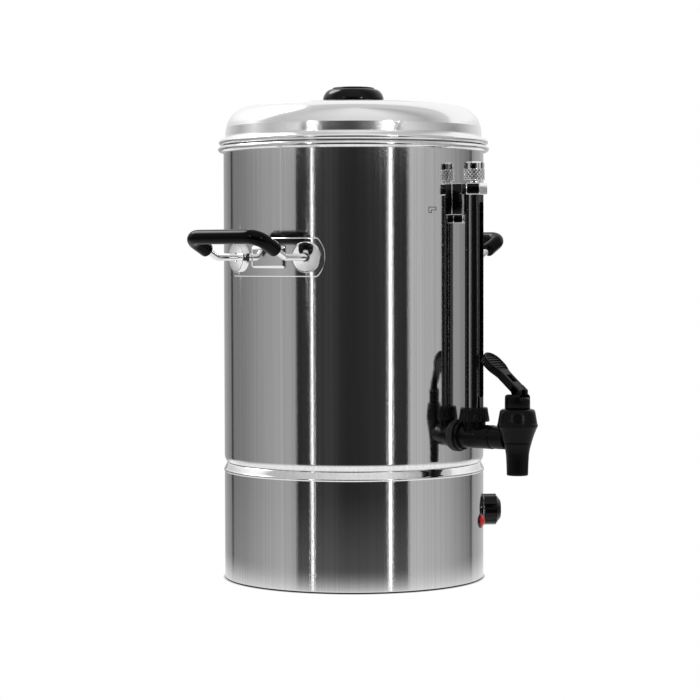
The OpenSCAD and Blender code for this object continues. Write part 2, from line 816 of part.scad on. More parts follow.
module gauge_tee() {
    color("black") difference() {
        union() {
            outward(0, arm_z, flange_face) cylinder(d = arm_d, h = tee_end - flange_face);
            outward(0, arm_z, flange_face) cylinder(d = flange_d, h = flange_t);
            outward(0, arm_z, inner_r - shank_in)
                cylinder(d = shank_d, h = flange_face - inner_r + shank_in + 1);
            at_gauge(arm_z) cylinder(d = neck_d + 1.6, h = nut_z - arm_z - fit);
            at_gauge(arm_z) cylinder(d = neck_d, h = neck_top - arm_z);
        }
        outward(0, arm_z, inner_r - shank_in - 1) cylinder(d = arm_bore, h = through + gauge_off + shank_in);
        outward(0, arm_z, tee_end - socket_len) cylinder(d = socket_d + 2 * run, h = through);
        at_gauge(arm_z) cylinder(d = glass_d - 2 * glass_wall, h = through);
        at_gauge(glass_low) cylinder(d = glass_d + 2 * fit, h = through);
        at_gauge(neck_top - seal_h) cylinder(d = glass_d + 4 + 2 * fit, h = through);
    }
}

module tap_body() {
    stub = tee_end + fit;
    spigot = tee_end - socket_len + fit;
    color("black") difference() {
        union() {
            at_spout(0) rotate_extrude($fn = 96) polygon([
                [0, mouth_z], [mouth_d / 2 - 0.8, mouth_z], [mouth_d / 2, mouth_z + 0.8],
                [cup_waist_d / 2, cup_waist_z], [cup_d / 2 - 1.2, cup_belt_z - 1], [cup_d / 2, cup_belt_z],
                [cup_d / 2, cup_wide_z], [cup_top_d / 2 + 1, cup_top_z - 2.4],
                [cup_top_d / 2 - 1.4, cup_top_z], [0, cup_top_z]
            ]);
            outward(0, arm_z, stub) cylinder(d = arm_d - 0.8, h = spout_r - stub);
            outward(0, arm_z, spigot) cylinder(d = socket_d, h = spout_r - spigot);
        }
        outward(0, arm_z, spigot - 1) cylinder(d = tap_bore, h = spout_r - spigot + 1);
        at_spout(mouth_z - 1) cylinder(d = mouth_bore, h = seat_z - mouth_z + 2);
        at_spout(seat_z) cylinder(d = chamber_d, h = chamber_top - seat_z);
        at_spout(seat_z) cylinder(d = plug_d + 2 * fit, h = through);
    }
}

module tap_washer() {
    color("dimgray") difference() {
        outward(0, arm_z, body_r - 3) cylinder(d = flange_d + 3, h = washer_t + 3);
        body_space(body_r + fit);
        outward(0, arm_z) cylinder(d = shank_d + 2 * fit, h = body_r + through);
    }
}

module tap_inner_washer() {
    color("dimgray") difference() {
        outward(0, arm_z, inner_r - washer_t) cylinder(d = backnut_d, h = washer_t * 2);
        outside_space(inner_r - fit);
        outward(0, arm_z) cylinder(d = shank_d + 2 * fit, h = body_r + through);
    }
}

module tap_backnut() {
    color("black") outward(0, arm_z, inner_r - washer_t - backnut_h)
        hex_nut(backnut_d * cos(30), shank_d + 2 * run, backnut_h);
}

module tap_bonnet() {
    edge = 1.6;
    top = bonnet_top + cheek_h;
    slot = lever_w + 2 * gap;
    color("black") at_spout(0) difference() {
        union() {
            translate([0, 0, cup_top_z]) cylinder(d = bonnet_d, h = top - edge - cup_top_z);
            translate([0, 0, top - edge - eps])
                cylinder(d1 = bonnet_d, d2 = bonnet_d - 2 * edge, h = edge + eps);
            translate([0, 0, cup_top_z - plug_h]) cylinder(d = plug_d, h = plug_h + eps);
        }
        // Slot between the two cheeks, where the lever's heel turns
        translate([-slot / 2, -bonnet_d, bonnet_top]) cube([slot, 2 * bonnet_d, through]);
        translate([0, 0, cup_top_z - plug_h - 1])
            cylinder(d = spring_room, h = bonnet_top - bonnet_wall - cup_top_z + plug_h + 1);
        translate([0, 0, cup_top_z]) cylinder(d = stem_d + 2 * run, h = bonnet_h + 1);
    }
}

module tap_stem() {
    tongue_z = bonnet_top + gap;
    color("black") at_spout(0) difference() {
        union() {
            translate([0, 0, seat_z + 3]) cylinder(d = stem_d, h = tongue_z - seat_z - 3);
            translate([0, 0, stem_flange_z]) cylinder(d = stem_flange_d, h = stem_flange_h);
            intersection() {
                translate([0, 0, tongue_z - eps]) cylinder(d = stem_d, h = pin_z - tongue_z + pin_d);
                translate([-tongue_w / 2, -stem_d, tongue_z - 1]) cube([tongue_w, 2 * stem_d, through]);
            }
        }
        translate([-through / 2, 0, pin_z]) rotate([0, 90, 0]) cylinder(d = pin_d + 2 * run, h = through);
    }
}

module tap_seat() {
    seat_r = mouth_bore / 2 + 3.5;
    hub_r = stem_d / 2 + 2.4;
    top_z = stem_flange_z - fit;
    color("gainsboro") at_spout(0) difference() {
        rotate_extrude($fn = 64) polygon([
            [0, seat_z + gap], [seat_r, seat_z + gap], [seat_r, seat_z + gap + 2.6], [hub_r + 0.8, seat_z + 6],
            [hub_r, top_z], [0, top_z]
        ]);
        translate([0, 0, seat_z + 3 - fit]) cylinder(d = stem_d + 2 * fit, h = through);
    }
}

// The spring is one tube swept along a helix, six sides round and eight rings to a turn
function helix(turn) = let (a = 360 * turn) [
    (spring_d / 2) * cos(a), (spring_d / 2) * sin(a),
    spring_low + spring_wire / 2 + spring_len * turn / spring_turns
];
function spring_ring(turn) = let (p = helix(turn), a = 360 * turn) [
    for (k = [0:5]) let (b = 60 * k, out = cos(b) * spring_wire / 2)
        [p[0] + out * cos(a), p[1] + out * sin(a), p[2] + sin(b) * spring_wire / 2]
];

module tap_spring() {
    rings = spring_turns * 8;
    points = [for (i = [0:rings]) each spring_ring(i / 8)];
    sides = [for (i = [0:rings - 1], k = [0:5]) let (n = (k + 1) % 6)
        each [[6 * i + k, 6 * i + n, 6 * i + 6 + k], [6 * i + n, 6 * i + 6 + n, 6 * i + 6 + k]]];
    last = 6 * rings;
    ends = [for (k = [1:4]) each [[0, k + 1, k], [last, last + k, last + k + 1]]];
    echo(spring_gap = spring_len / spring_turns - spring_wire);
    color("silver") at_spout(0) polyhedron(points = points, faces = concat(sides, ends));
}

// Lies in the lever's own frame: Y along the lever from its pin, Z out of its upper face
module lever_frame() {
    at_spout(pin_z) rotate([lever_angle, 0, 0]) children();
}

// Thumb paddle: a round tip that narrows to the lever's bar
module paddle(wide, long, neck) {
    r = wide / 2;
    side = acos((r - neck / 2) / (long - r) / 1.5);
    translate([0, long - r]) circle(r = r, $fn = 96);
    polygon([
        [-neck / 2, 0], [-r * sin(side), long - r - r * cos(side)], [-r, long - r], [r, long - r],
        [r * sin(side), long - r - r * cos(side)], [neck / 2, 0]
    ]);
}

module tap_lever() {
    low = -1;
    face = low + lever_t;
    paddle_low = lever_len - paddle_len;
    rim = 1.8;
    dip = 1.5;
    dish = paddle_len - 2 * rim - 3;
    pocket_from = heel_r + 2.5;
    pocket_len = paddle_low - pocket_from - 2;
    heel_angle = heel_start - lever_angle;
    room = stem_d / 2 + gap;
    far = 14;
    swing_cos = cos(lever_pull);
    swing_sin = sin(lever_pull);
    color("black") difference() {
        lever_frame() intersection() {
            union() {
                translate([-lever_w / 2, 0, low]) cube([lever_w, paddle_low + 1, lever_t]);
                translate([0, paddle_low, low]) linear_extrude(height = lever_t)
                    paddle(paddle_w, paddle_len, lever_w);
                translate([-lever_w / 2, heel_off * -sin(heel_angle), heel_off * cos(heel_angle)])
                    rotate([0, 90, 0]) cylinder(r = heel_r, h = lever_w);
            }
            translate([-paddle_w, -through, face - through]) cube([2 * paddle_w, 3 * through, through]);
        }
        lever_frame() {
            translate([0, lever_len - rim - dish, face - dip]) linear_extrude(height = lever_t) difference() {
                paddle(paddle_w - 2 * rim, dish, lever_w - 2 * rim);
                for (i = [1:rib_count])
                    translate([-paddle_w / 2, i / (rib_count + 1) * dish - 0.5]) square([paddle_w, 1]);
            }
            translate([-lever_w / 2 + 3, pocket_from, face - 2]) cube([lever_w - 6, pocket_len, lever_t]);
            translate([-through / 2, 0, 0]) rotate([0, 90, 0]) cylinder(d = pin_d + 2 * fit, h = through);
        }
        // Room for the stem's tongue over the lever's whole pull
        at_spout(pin_z) rotate([90, 0, 90]) translate([0, 0, -tongue_w / 2 - gap])
            linear_extrude(height = tongue_w + 2 * gap) {
                circle(r = norm([stem_d / 2, pin_d]) + gap);
                polygon([
                    [room, 0], [room, -far], [-far, -far],
                    [-room * swing_cos - far * swing_sin, room * swing_sin - far * swing_cos],
                    [-room * swing_cos, room * swing_sin]
                ]);
            }
    }
}

module lever_pin() {
    color("silver") at_spout(pin_z) translate([-lever_w / 2, 0, 0]) rotate([0, 90, 0])
        cylinder(d = pin_d, h = lever_w);
}

module thermostat() {
    color("gainsboro") difference() {
        union() {
            outward(thermo_az, thermo_z, body_r - boss_h - thermo_depth + 1)
                translate([-case_w / 2, -case_h / 2, 0]) cube([case_w, case_h, thermo_depth]);
            outward(thermo_az, thermo_z, body_r - boss_h) cylinder(d = boss_d, h = boss_h);
            outward(thermo_az, thermo_z, body_r - boss_h) cylinder(d = bush_d, h = boss_h + bush_out);
        }
        difference() {
            outside_space(inner_r - fit);
            outward(thermo_az, thermo_z, body_r - boss_h) cylinder(d = bush_d, h = boss_h + through);
        }
        outward(thermo_az, thermo_z, body_r - shaft_in - gap)
            cylinder(d = shaft_d + 2 * run, h = shaft_in + bush_out + through);
    }
}

module thermostat_nut() {
    color("silver") difference() {
        outward(thermo_az, thermo_z, body_r - 1) hex_nut(bush_d * 1.4, bush_d + 2 * run, thermo_nut_h + 1);
        body_space(body_r + fit);
    }
}

module thermostat_shaft() {
    from = body_r - shaft_in;
    color("silver") outward(thermo_az, thermo_z, from) cylinder(d = shaft_d, h = dial_foot + dial_h - 4 - from);
}

module thermostat_knob() {
    dome = dial_h * 0.27;
    color("black") outward(thermo_az, thermo_z, dial_foot) difference() {
        union() {
            fluted(dial_d, dial_h - dome, dial_flutes, dial_d, 0.4);
            translate([0, 0, dial_h - dome - eps]) cylinder(d1 = dial_d - 1, d2 = dial_d * 0.6, h = dome);
        }
        translate([0, 0, -1]) cylinder(d = bush_d * 1.9, h = bush_out - dial_gap + 1.6);
        translate([0, 0, -1]) cylinder(d = shaft_d + 2 * fit, h = dial_h - 4 + 1 + fit);
        // Groove that points to the setting
        translate([-1.1, dial_d / 2 - 4, dial_h - dome - 1]) cube([2.2, 5, dome + 2]);
    }
}

module lamp_bezel() {
    color("black") difference() {
        union() {
            outward(lamp_az, lamp_z, body_r - 2) cylinder(d = bezel_d, h = lamp_out + 2);
            outward(lamp_az, lamp_z, body_r - 10) cylinder(d = lens_d + 0.8, h = 12);
        }
        difference() {
            body_space(body_r + fit);
            outward(lamp_az, lamp_z, body_r - 20) cylinder(d = lens_d + 0.8, h = 30);
        }
        outward(lamp_az, lamp_z, body_r - 8) cylinder(d = lens_d - 1.4, h = 20);
        outward(lamp_az, lamp_z, body_r - 1) cylinder(d = lens_d - 0.4, h = 20);
    }
}

module lamp_lens() {
    r = lens_d / 2 - 0.2 - fit;
    dome = 1.2;
    dome_r = (r * r + dome * dome) / (2 * dome);
    edge = lamp_out + 1.2;
    color("red") outward(lamp_az, lamp_z, body_r - 1) rotate_extrude($fn = 48) polygon(concat(
        [[0, 0], [r, 0]],
        arc([0, edge + dome - dome_r], dome_r, 90 - asin(r / dome_r), 90, 8)
    ));
}

module lamp_nut() {
    color("black") difference() {
        outward(lamp_az, lamp_z, inner_r - 4) hex_nut(lens_d + 4, lens_d + 0.8 + 2 * run, 6);
        outside_space(inner_r - fit);
    }
}

module cable_gland() {
    color("black") difference() {
        union() {
            outward(180, gland_z, body_r - 3) cylinder(d = gland_flange_d, h = 6);
            outward(180, gland_z, body_r)
                cylinder(d1 = gland_flange_d - 5, d2 = gland_flange_d - 8, h = gland_out);
            outward(180, gland_z, body_r - 14) cylinder(d = gland_body_d, h = 16);
        }
        difference() {
            body_space(body_r + fit);
            outward(180, gland_z, body_r - 20) cylinder(d = gland_body_d, h = 30);
        }
        outward(180, gland_z, body_r - 20) cylinder(d = gland_bore, h = 40);
    }
}

module gland_nut() {
    color("black") difference() {
        outward(180, gland_z, inner_r - 1.2 - gland_nut_h)
            hex_nut(gland_body_d * 1.4, gland_body_d + 2 * run, gland_nut_h + 3);
        outside_space(inner_r - fit);
    }
}

module heating_element() {
    lap_turn = asin(bend_lap / element_r);
    bend_z = element_z - element_bend;
    color("silver") {
        rotate([0, 0, 90 + bend_turn - lap_turn])
            rotate_extrude(angle = 360 - 2 * bend_turn + 2 * lap_turn, $fn = 128)
                translate([element_r, element_z]) circle(d = element_d, $fn = 32);
        element_legs(element_d, floor_z - leg_out, bend_z + bend_lap);
        for (side = [0, 1]) mirror([side, 0, 0]) rotate([0, 0, 180 + bend_turn])
            translate([0, -element_r, bend_z]) rotate([90, 0, 0]) rotate([0, 0, 90])
                rotate_extrude(angle = 90) translate([element_bend, 0]) circle(d = element_d + bend_swell);
    }
}

module element_seals() {
    color("dimgray") difference() {
        element_legs(leg_nut_d, floor_z - leg_seal_t, floor_z - fit);
        element_legs(element_d + 2 * fit, floor_z - 3, floor_z + 1);
    }
}

module element_nuts() {
    color("silver") for (side = [-1, 1])
        rotate([0, 0, 180 + side * leg_turn]) translate([0, -leg_r, floor_z - leg_seal_t - leg_nut_h])
            hex_nut(leg_nut_d * cos(30), element_d + 2 * run, leg_nut_h);
}

module boil_dry_cutout() {
    color("gainsboro") rotate([0, 0, cutout_az]) translate([0, -cutout_r, floor_z - cutout_h - fit]) {
        cylinder(d = cutout_d, h = cutout_h);
        for (side = [-1, 1]) translate([side * 5 - 0.4, -3, -9]) cube([0.8, 6, 10]);
    }
}

tank_wall();
tank_floor();
base_skirt();
base_plate();
foot_ring();
tie_rods();
tie_nuts();
lid_dome();
lid_ring();
lid_knob();
lid_knob_cap();
lid_screw();
handle_plate_left();
handle_discs_left();
handle_rod_left();
handle_grip_left();
handle_plate_right();
handle_discs_right();
handle_rod_right();
handle_grip_right();
gauge_fitting();
gauge_washer();
gauge_stud_nut();
gauge_guard();
gauge_glass();
gauge_cap();
gauge_cap_seal();
gauge_nut();
gauge_seal();
gauge_tee();
tap_body();
tap_washer();
tap_inner_washer();
tap_backnut();
tap_bonnet();
tap_stem();
tap_seat();
tap_spring();
tap_lever();
lever_pin();
thermostat();
thermostat_nut();
thermostat_shaft();
thermostat_knob();
lamp_bezel();
lamp_lens();
lamp_nut();
cable_gland();
gland_nut();
heating_element();
element_seals();
element_nuts();
boil_dry_cutout();
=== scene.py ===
# %% [markdown]
# # Hot water urn
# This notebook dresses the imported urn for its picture. The urn's sizes are in millimetres and follow the
# construction source, so that each dressed piece lies where its solid lies. Some forms are finer here,
# and the handles' loops rise a little more.

# %%
import json
import math

import bmesh
import bpy
from mathutils import Matrix, Vector


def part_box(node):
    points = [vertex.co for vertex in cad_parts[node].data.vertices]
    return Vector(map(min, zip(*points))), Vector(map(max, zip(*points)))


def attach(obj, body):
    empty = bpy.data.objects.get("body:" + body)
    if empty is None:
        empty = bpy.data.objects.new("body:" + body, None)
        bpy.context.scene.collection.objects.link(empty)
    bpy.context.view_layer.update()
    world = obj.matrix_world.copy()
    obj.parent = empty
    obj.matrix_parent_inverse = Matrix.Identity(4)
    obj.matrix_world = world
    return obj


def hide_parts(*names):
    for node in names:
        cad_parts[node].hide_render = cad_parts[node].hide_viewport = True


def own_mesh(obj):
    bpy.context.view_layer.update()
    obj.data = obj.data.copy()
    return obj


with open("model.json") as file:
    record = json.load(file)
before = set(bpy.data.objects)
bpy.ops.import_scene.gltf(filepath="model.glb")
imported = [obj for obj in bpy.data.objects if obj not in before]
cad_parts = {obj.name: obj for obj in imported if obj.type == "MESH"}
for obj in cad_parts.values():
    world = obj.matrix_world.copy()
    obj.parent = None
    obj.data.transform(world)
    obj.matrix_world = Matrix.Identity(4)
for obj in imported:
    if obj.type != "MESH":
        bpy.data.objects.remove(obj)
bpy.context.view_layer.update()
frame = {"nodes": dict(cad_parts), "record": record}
NODES = frame["nodes"]
MM = 0.001

# %% [markdown]
# ## Shared sizes
# These are the main values of the construction source. Pieces that hug the wall start at WALL_FACE.

# %%
BODY_R = 115.0
SHEET = 1.0
WALL_FACE = 115.15
RIM_Z = 379.0
RIM_BEAD = 2.9
TANK_CORNER = 9.4
FLOOR_Z = 100.2
CORNER_Z = 109.6
SKIRT_LOW = 1.2
LID_TOP = 420.0
HANDLE_Z = 284.0
GAUGE_R = 132.0
SPOUT_R = 177.0
ARM_Z = 131.0

# %% [markdown]
# ## Camera
# The camera's distance, height and field of view come from the ellipses of the rims in the photograph.

# %%
CAM_AZIMUTH = math.radians(-51.0)
CAM_DISTANCE = 2.032
CAM_HEIGHT = 0.2841
CAM_PITCH = math.radians(2.33)
CAM_YAW = math.radians(0.0965)
CAM_ROLL = math.radians(-0.12)
PHOTO_FOCAL = 2287.0
PHOTO_SIZE = 700.0

camera_data = bpy.data.cameras.new("camera")
camera_data.sensor_width = 36.0
camera_data.lens = PHOTO_FOCAL / PHOTO_SIZE * camera_data.sensor_width
camera = bpy.data.objects.new("camera", camera_data)
bpy.context.collection.objects.link(camera)
camera.location = (
    CAM_DISTANCE * math.sin(CAM_AZIMUTH),
    -CAM_DISTANCE * math.cos(CAM_AZIMUTH),
    CAM_HEIGHT,
)
turn = Matrix.Rotation(CAM_AZIMUTH + CAM_YAW, 4, "Z") @ Matrix.Rotation(math.pi / 2 - CAM_PITCH, 4, "X")
camera.rotation_euler = (turn @ Matrix.Rotation(CAM_ROLL, 4, "Z")).to_euler()
bpy.context.scene.camera = camera
bpy.context.scene.view_settings.view_transform = "Standard"
TO_CAMERA = Vector((math.sin(CAM_AZIMUTH), -math.cos(CAM_AZIMUTH), 0))
TO_RIGHT = Vector((math.cos(CAM_AZIMUTH), math.sin(CAM_AZIMUTH), 0))
print("camera lens", round(camera_data.lens, 2))

# %% [markdown]
# ## Node helpers
# Small functions add nodes and links, so that the materials below read as lists of steps.


# %%
def add_node(tree, kind, **values):
    node = tree.nodes.new(kind)
    for key, value in values.items():
        setattr(node, key, value)
    return node


def math_node(tree, operation, first, second=None, clamp=False):
    node = add_node(tree, "ShaderNodeMath", operation=operation, use_clamp=clamp)
    for socket, value in zip(node.inputs, (first, second)):
        if value is None:
            continue
        if isinstance(value, bpy.types.NodeSocket):
            tree.links.new(value, socket)
        else:
            socket.default_value = value
    return node.outputs[0]


def dot_node(tree, vector, direction):
    node = add_node(tree, "ShaderNodeVectorMath", operation="DOT_PRODUCT")
    tree.links.new(vector, node.inputs[0])
    node.inputs[1].default_value = direction
    return node.outputs["Value"]


def ramp_node(tree, factor, stops, mode="LINEAR"):
    node = add_node(tree, "ShaderNodeValToRGB")
    node.color_ramp.interpolation = mode
    ramp = node.color_ramp.elements
    while len(ramp) < len(stops):
        ramp.new(0.5)
    for element, (place, grey) in zip(ramp, stops):
        element.position = place
        element.color = (grey, grey, grey, 1)
    tree.links.new(factor, node.inputs[0])
    return node.outputs[0]


def mix_node(tree, factor, first, second, blend="MIX"):
    node = add_node(tree, "ShaderNodeMix", data_type="RGBA", blend_type=blend)
    sockets = [node.inputs[0], node.inputs[6], node.inputs[7]]
    for socket, value in zip(sockets, (factor, first, second)):
        if isinstance(value, bpy.types.NodeSocket):
            tree.links.new(value, socket)
        elif isinstance(value, (int, float)) and socket.type == "RGBA":
            socket.default_value = (value, value, value, 1)
        else:
            socket.default_value = value
    return node.outputs[2]


# %% [markdown]
# ## Surroundings
# The polished body mirrors a dark room behind the camera, two narrow lamps and pale walls at the sides.
# The world gives those by direction. The camera itself sees plain white.
# Walls and lamps are short lists of degrees to the right of the camera's side, with a tone for each.
# They are a lighting set-up, tuned by comparing the render's greys with the photograph's.

# %%
LEFT_WALL = [
    (-180, 0.52), (-139.5, 0.21), (-137.8, 0.03), (-135.2, 0.03), (-133.6, 0.19), (-112, 0.22), (-67, 0.38),
    (-52.2, 0.34), (-51.3, 0.022), (-20, 0.042), (-9.5, 0.02), (0, 0.018),
]
RIGHT_WALL = [
    (0, 0.018), (26, 0.03), (48.5, 0.025), (49.4, 0.45), (56, 0.46), (87, 0.38), (124.6, 0.16), (125.4, 0.04),
    (127.6, 0.04), (129, 0.29), (168, 0.55), (180, 0.55),
]
LAMPS = [
    (-38.9, 0.0), (-37.9, 0.06), (-37.3, 2.4), (-36.0, 2.4), (-35.4, 0.06), (-32, 0.0),
    (28, 0.0), (30.7, 0.05), (31.4, 2.8), (32.5, 2.8), (33.2, 0.03), (36, 0.0),
]
# Only the lid, the beads and small parts look this high. The lamps are wider and softer there.
UPPER_LEFT = [
    (-180, 0.95), (-121, 0.4), (-100, 0.76), (-81, 0.46), (-48, 0.76), (-46.5, 0.1), (-43.5, 0.1),
    (-41.5, 0.85), (-33, 0.75), (-29, 0.1), (0, 0.035),
]
UPPER_RIGHT = [
    (0, 0.035), (18, 0.2), (27, 1.1), (35, 1.1), (38, 0.2), (41, 0.15), (43, 0.76), (102, 0.22), (131, 0.63),
    (180, 0.95),
]
# The ceiling's tones run from the camera's side up over the top to the back.
# Its front part changes to the sides.
CEILING = [
    (21, 0.46), (24, 0.50), (60, 0.58), (100, 0.60), (113.5, 0.62), (114.6, 0.34), (116, 0.86), (125, 0.96),
    (180, 0.98),
]
CEILING_SIDES = [(-180, 1.0), (-75, 0.9), (-10, 1.36), (35, 1.4), (74, 0.66), (100, 1.0), (180, 1.0)]
CEILING_START = [(20.5, 0.0), (22.0, 1.0)]
CEILING_FRONT = [(113.5, 1.0), (114.6, 0.0)]
# A level is 0 straight down, 0.5 at the horizon and 1 straight up.
LAMP_LEVELS = [(0.36, 0.0), (0.41, 1.0), (0.53, 1.0), (0.54, 0.0)]
UPPER_LEVELS = [(0.527, 0.0), (0.535, 1.0)]
CEILING_LEVELS = [(0.575, 0.0), (0.66, 1.0)]
GROUND_LEVELS = [(0.36, 1.0), (0.41, 0.0)]
BEHIND_URN = [(0.3, 0.0), (0.8, 1.0)]
GROUND_TONE = 0.95
# A spot has degrees to the right, degrees up, a radius, a soft edge and a strength.
# The first two light the lid and its knob, the next two the grips and the last two the handles' discs.
SPOTS = [
    (-108.0, 32.0, 3.0, 13.0, 1.15), (-125.0, 45.0, 8.0, 12.0, 10.0),
    (-38.2, 16.0, 1.2, 0.3, 60.0), (32.0, 16.0, 1.2, 0.3, 60.0),
    (-41.0, 0.0, 0.42, 0.06, 1.8), (-118.9, 0.0, 0.42, 0.06, 1.5),
]
print("wall stops", len(LEFT_WALL) + len(RIGHT_WALL), "lamp stops", len(LAMPS), "spots", len(SPOTS))

# %% [markdown]
# The world's nodes mix those tones by direction, from the walls up to the ceiling, and then add the spots.

# %%
world = bpy.data.worlds.new("studio")
bpy.context.scene.world = world
world.use_nodes = True
tree = world.node_tree
tree.nodes.clear()
direction = add_node(tree, "ShaderNodeTexCoord").outputs["Generated"]
to_camera = dot_node(tree, direction, TO_CAMERA)
side = math_node(tree, "ARCTAN2", dot_node(tree, direction, TO_RIGHT), to_camera)
around = math_node(tree, "ADD", math_node(tree, "DIVIDE", side, 2 * math.pi), 0.5)
right_half = math_node(tree, "GREATER_THAN", side, 0.0)
height = dot_node(tree, direction, (0, 0, 1))
level = math_node(tree, "ADD", math_node(tree, "MULTIPLY", height, 0.5), 0.5)
over = math_node(tree, "DIVIDE", math_node(tree, "ARCTAN2", height, to_camera), math.pi)


def side_ramp(stops):
    return ramp_node(tree, around, [(degrees / 360 + 0.5, tone) for degrees, tone in stops])


def over_ramp(stops):
    return ramp_node(tree, over, [(degrees / 180, tone) for degrees, tone in stops])


def both_sides(left, right):
    return mix_node(tree, right_half, side_ramp(left), side_ramp(right))


lamps = mix_node(tree, 1.0, side_ramp(LAMPS), ramp_node(tree, level, LAMP_LEVELS), "MULTIPLY")
walls = mix_node(tree, 1.0, both_sides(LEFT_WALL, RIGHT_WALL), lamps, "ADD")
walls = mix_node(tree, ramp_node(tree, level, UPPER_LEVELS), walls, both_sides(UPPER_LEFT, UPPER_RIGHT))
change = mix_node(tree, over_ramp(CEILING_FRONT), 1.0, side_ramp(CEILING_SIDES))
ceiling = mix_node(tree, 1.0, over_ramp(CEILING), change, "MULTIPLY")
above = math_node(tree, "MULTIPLY", ramp_node(tree, level, CEILING_LEVELS), over_ramp(CEILING_START))
walls = mix_node(tree, above, walls, ceiling)
behind = ramp_node(tree, dot_node(tree, direction, -TO_CAMERA), BEHIND_URN)
ground = math_node(tree, "MULTIPLY", behind, ramp_node(tree, level, GROUND_LEVELS))
room = mix_node(tree, ground, walls, GROUND_TONE)
for azimuth, elevation, radius, soft, strength in SPOTS:
    a, e = math.radians(azimuth), math.radians(elevation)
    toward = (TO_CAMERA * math.cos(a) + TO_RIGHT * math.sin(a)) * math.cos(e) + Vector((0, 0, math.sin(e)))
    inside = add_node(tree, "ShaderNodeMapRange", interpolation_type="SMOOTHSTEP")
    tree.links.new(dot_node(tree, direction, toward), inside.inputs["Value"])
    inside.inputs["From Min"].default_value = math.cos(math.radians(radius + soft))
    inside.inputs["From Max"].default_value = math.cos(math.radians(radius))
    room = mix_node(tree, inside.outputs[0], room, strength)
paths = add_node(tree, "ShaderNodeLightPath")
seen = mix_node(tree, paths.outputs["Is Glossy Ray"], 1.0, room)
seen = mix_node(tree, paths.outputs["Is Camera Ray"], seen, 1.0)
light = add_node(tree, "ShaderNodeBackground")
tree.links.new(seen, light.inputs["Color"])
tree.links.new(light.outputs[0], add_node(tree, "ShaderNodeOutputWorld").inputs["Surface"])
print("world nodes", len(tree.nodes))

# %% [markdown]
# The floor is white. Mirrors see only the part of it near the urn, which brightens the base.
# A thin dark ring in the floor's seen colour is painted shadow where the foot stands.

# %%
FLOOR_R = 3.0
# Shares and tones by the distance from the urn's middle, in metres.
NEAR_SHARE = [
    (0.0, 0.8), (0.12, 0.7), (0.155, 0.4), (0.19, 0.22), (0.22, 0.12), (0.255, 0.06), (0.5, 0.035), (0.9, 0.0)
]
TABLE_SHARE = [(0.0, 1.0), (0.5, 1.0), (0.9, 0.0)]
# Painted contact shadow: the floor's seen colour turns dark just inside the foot's edge.
FOOT_SHADOW_RING = [(0.1141, 0.02), (0.1151, 1.0)]
# How much of the table shows, by how flatly it is looked at.
STEEP_SHARE = [(0.0, 1.0), (0.5, 1.0), (0.78, 0.0)]

bpy.ops.mesh.primitive_circle_add(vertices=96, radius=FLOOR_R, fill_type="NGON", location=(0, 0, 0))
floor = bpy.context.object
floor.name = "floor"
floor_material = bpy.data.materials.new("floor_white")
floor_material.use_nodes = True
tree = floor_material.node_tree
tree.nodes.clear()
place = add_node(tree, "ShaderNodeTexCoord").outputs["Object"]
length = add_node(tree, "ShaderNodeVectorMath", operation="LENGTH")
tree.links.new(place, length.inputs[0])
near = ramp_node(tree, length.outputs["Value"], NEAR_SHARE)
table = ramp_node(tree, length.outputs["Value"], TABLE_SHARE)
facing = add_node(tree, "ShaderNodeLayerWeight")
facing.inputs["Blend"].default_value = 0.5
steep = ramp_node(tree, facing.outputs["Facing"], STEEP_SHARE)
near = math_node(tree, "MAXIMUM", near, math_node(tree, "MULTIPLY", table, steep))
paths = add_node(tree, "ShaderNodeLightPath")
shown = add_node(tree, "ShaderNodeEmission")
tree.links.new(ramp_node(tree, length.outputs["Value"], FOOT_SHADOW_RING), shown.inputs["Color"])
pale = add_node(tree, "ShaderNodeEmission")
pale.inputs["Color"].default_value = (0.9, 0.9, 0.9, 1)
clear = add_node(tree, "ShaderNodeBsdfTransparent")
faded = add_node(tree, "ShaderNodeMixShader")
tree.links.new(near, faded.inputs[0])
tree.links.new(clear.outputs[0], faded.inputs[1])
tree.links.new(pale.outputs[0], faded.inputs[2])
final = add_node(tree, "ShaderNodeMixShader")
tree.links.new(paths.outputs["Is Camera Ray"], final.inputs[0])
tree.links.new(faded.outputs[0], final.inputs[1])
tree.links.new(shown.outputs[0], final.inputs[2])
tree.links.new(final.outputs[0], add_node(tree, "ShaderNodeOutputMaterial").inputs["Surface"])
floor.data.materials.append(floor_material)
print("floor radius", FLOOR_R)

# %% [markdown]
# ## Shared surface effects
# One group makes the fine upright grain of the polished sheet, with small rough spots that fray the
# lamps' lines. Another makes faint smudges, and a third softens the edges of the solids.


# %%
def new_group(name, inputs, outputs):
    group = bpy.data.node_groups.new(name, "ShaderNodeTree")
    for label, kind, value in inputs:
        socket = group.interface.new_socket(label, in_out="INPUT", socket_type=kind)
        socket.default_value = value
    for label, kind in outputs:
        group.interface.new_socket(label, in_out="OUTPUT", socket_type=kind)
    start = group.nodes.new("NodeGroupInput")
    end = group.nodes.new("NodeGroupOutput")
    return group, start, end


def noise_node(tree, vector, scale, detail=3.0, rough=0.6):
    node = add_node(tree, "ShaderNodeTexNoise")
    tree.links.new(vector, node.inputs["Vector"])
    node.inputs["Scale"].default_value = scale
    node.inputs["Detail"].default_value = detail
    node.inputs["Roughness"].default_value = rough
    return node.outputs[0]


def stretched(tree, scale):
    place = add_node(tree, "ShaderNodeTexCoord").outputs["Object"]
    node = add_node(tree, "ShaderNodeMapping")
    node.inputs["Scale"].default_value = scale
    tree.links.new(place, node.inputs["Vector"])
    return node.outputs[0]


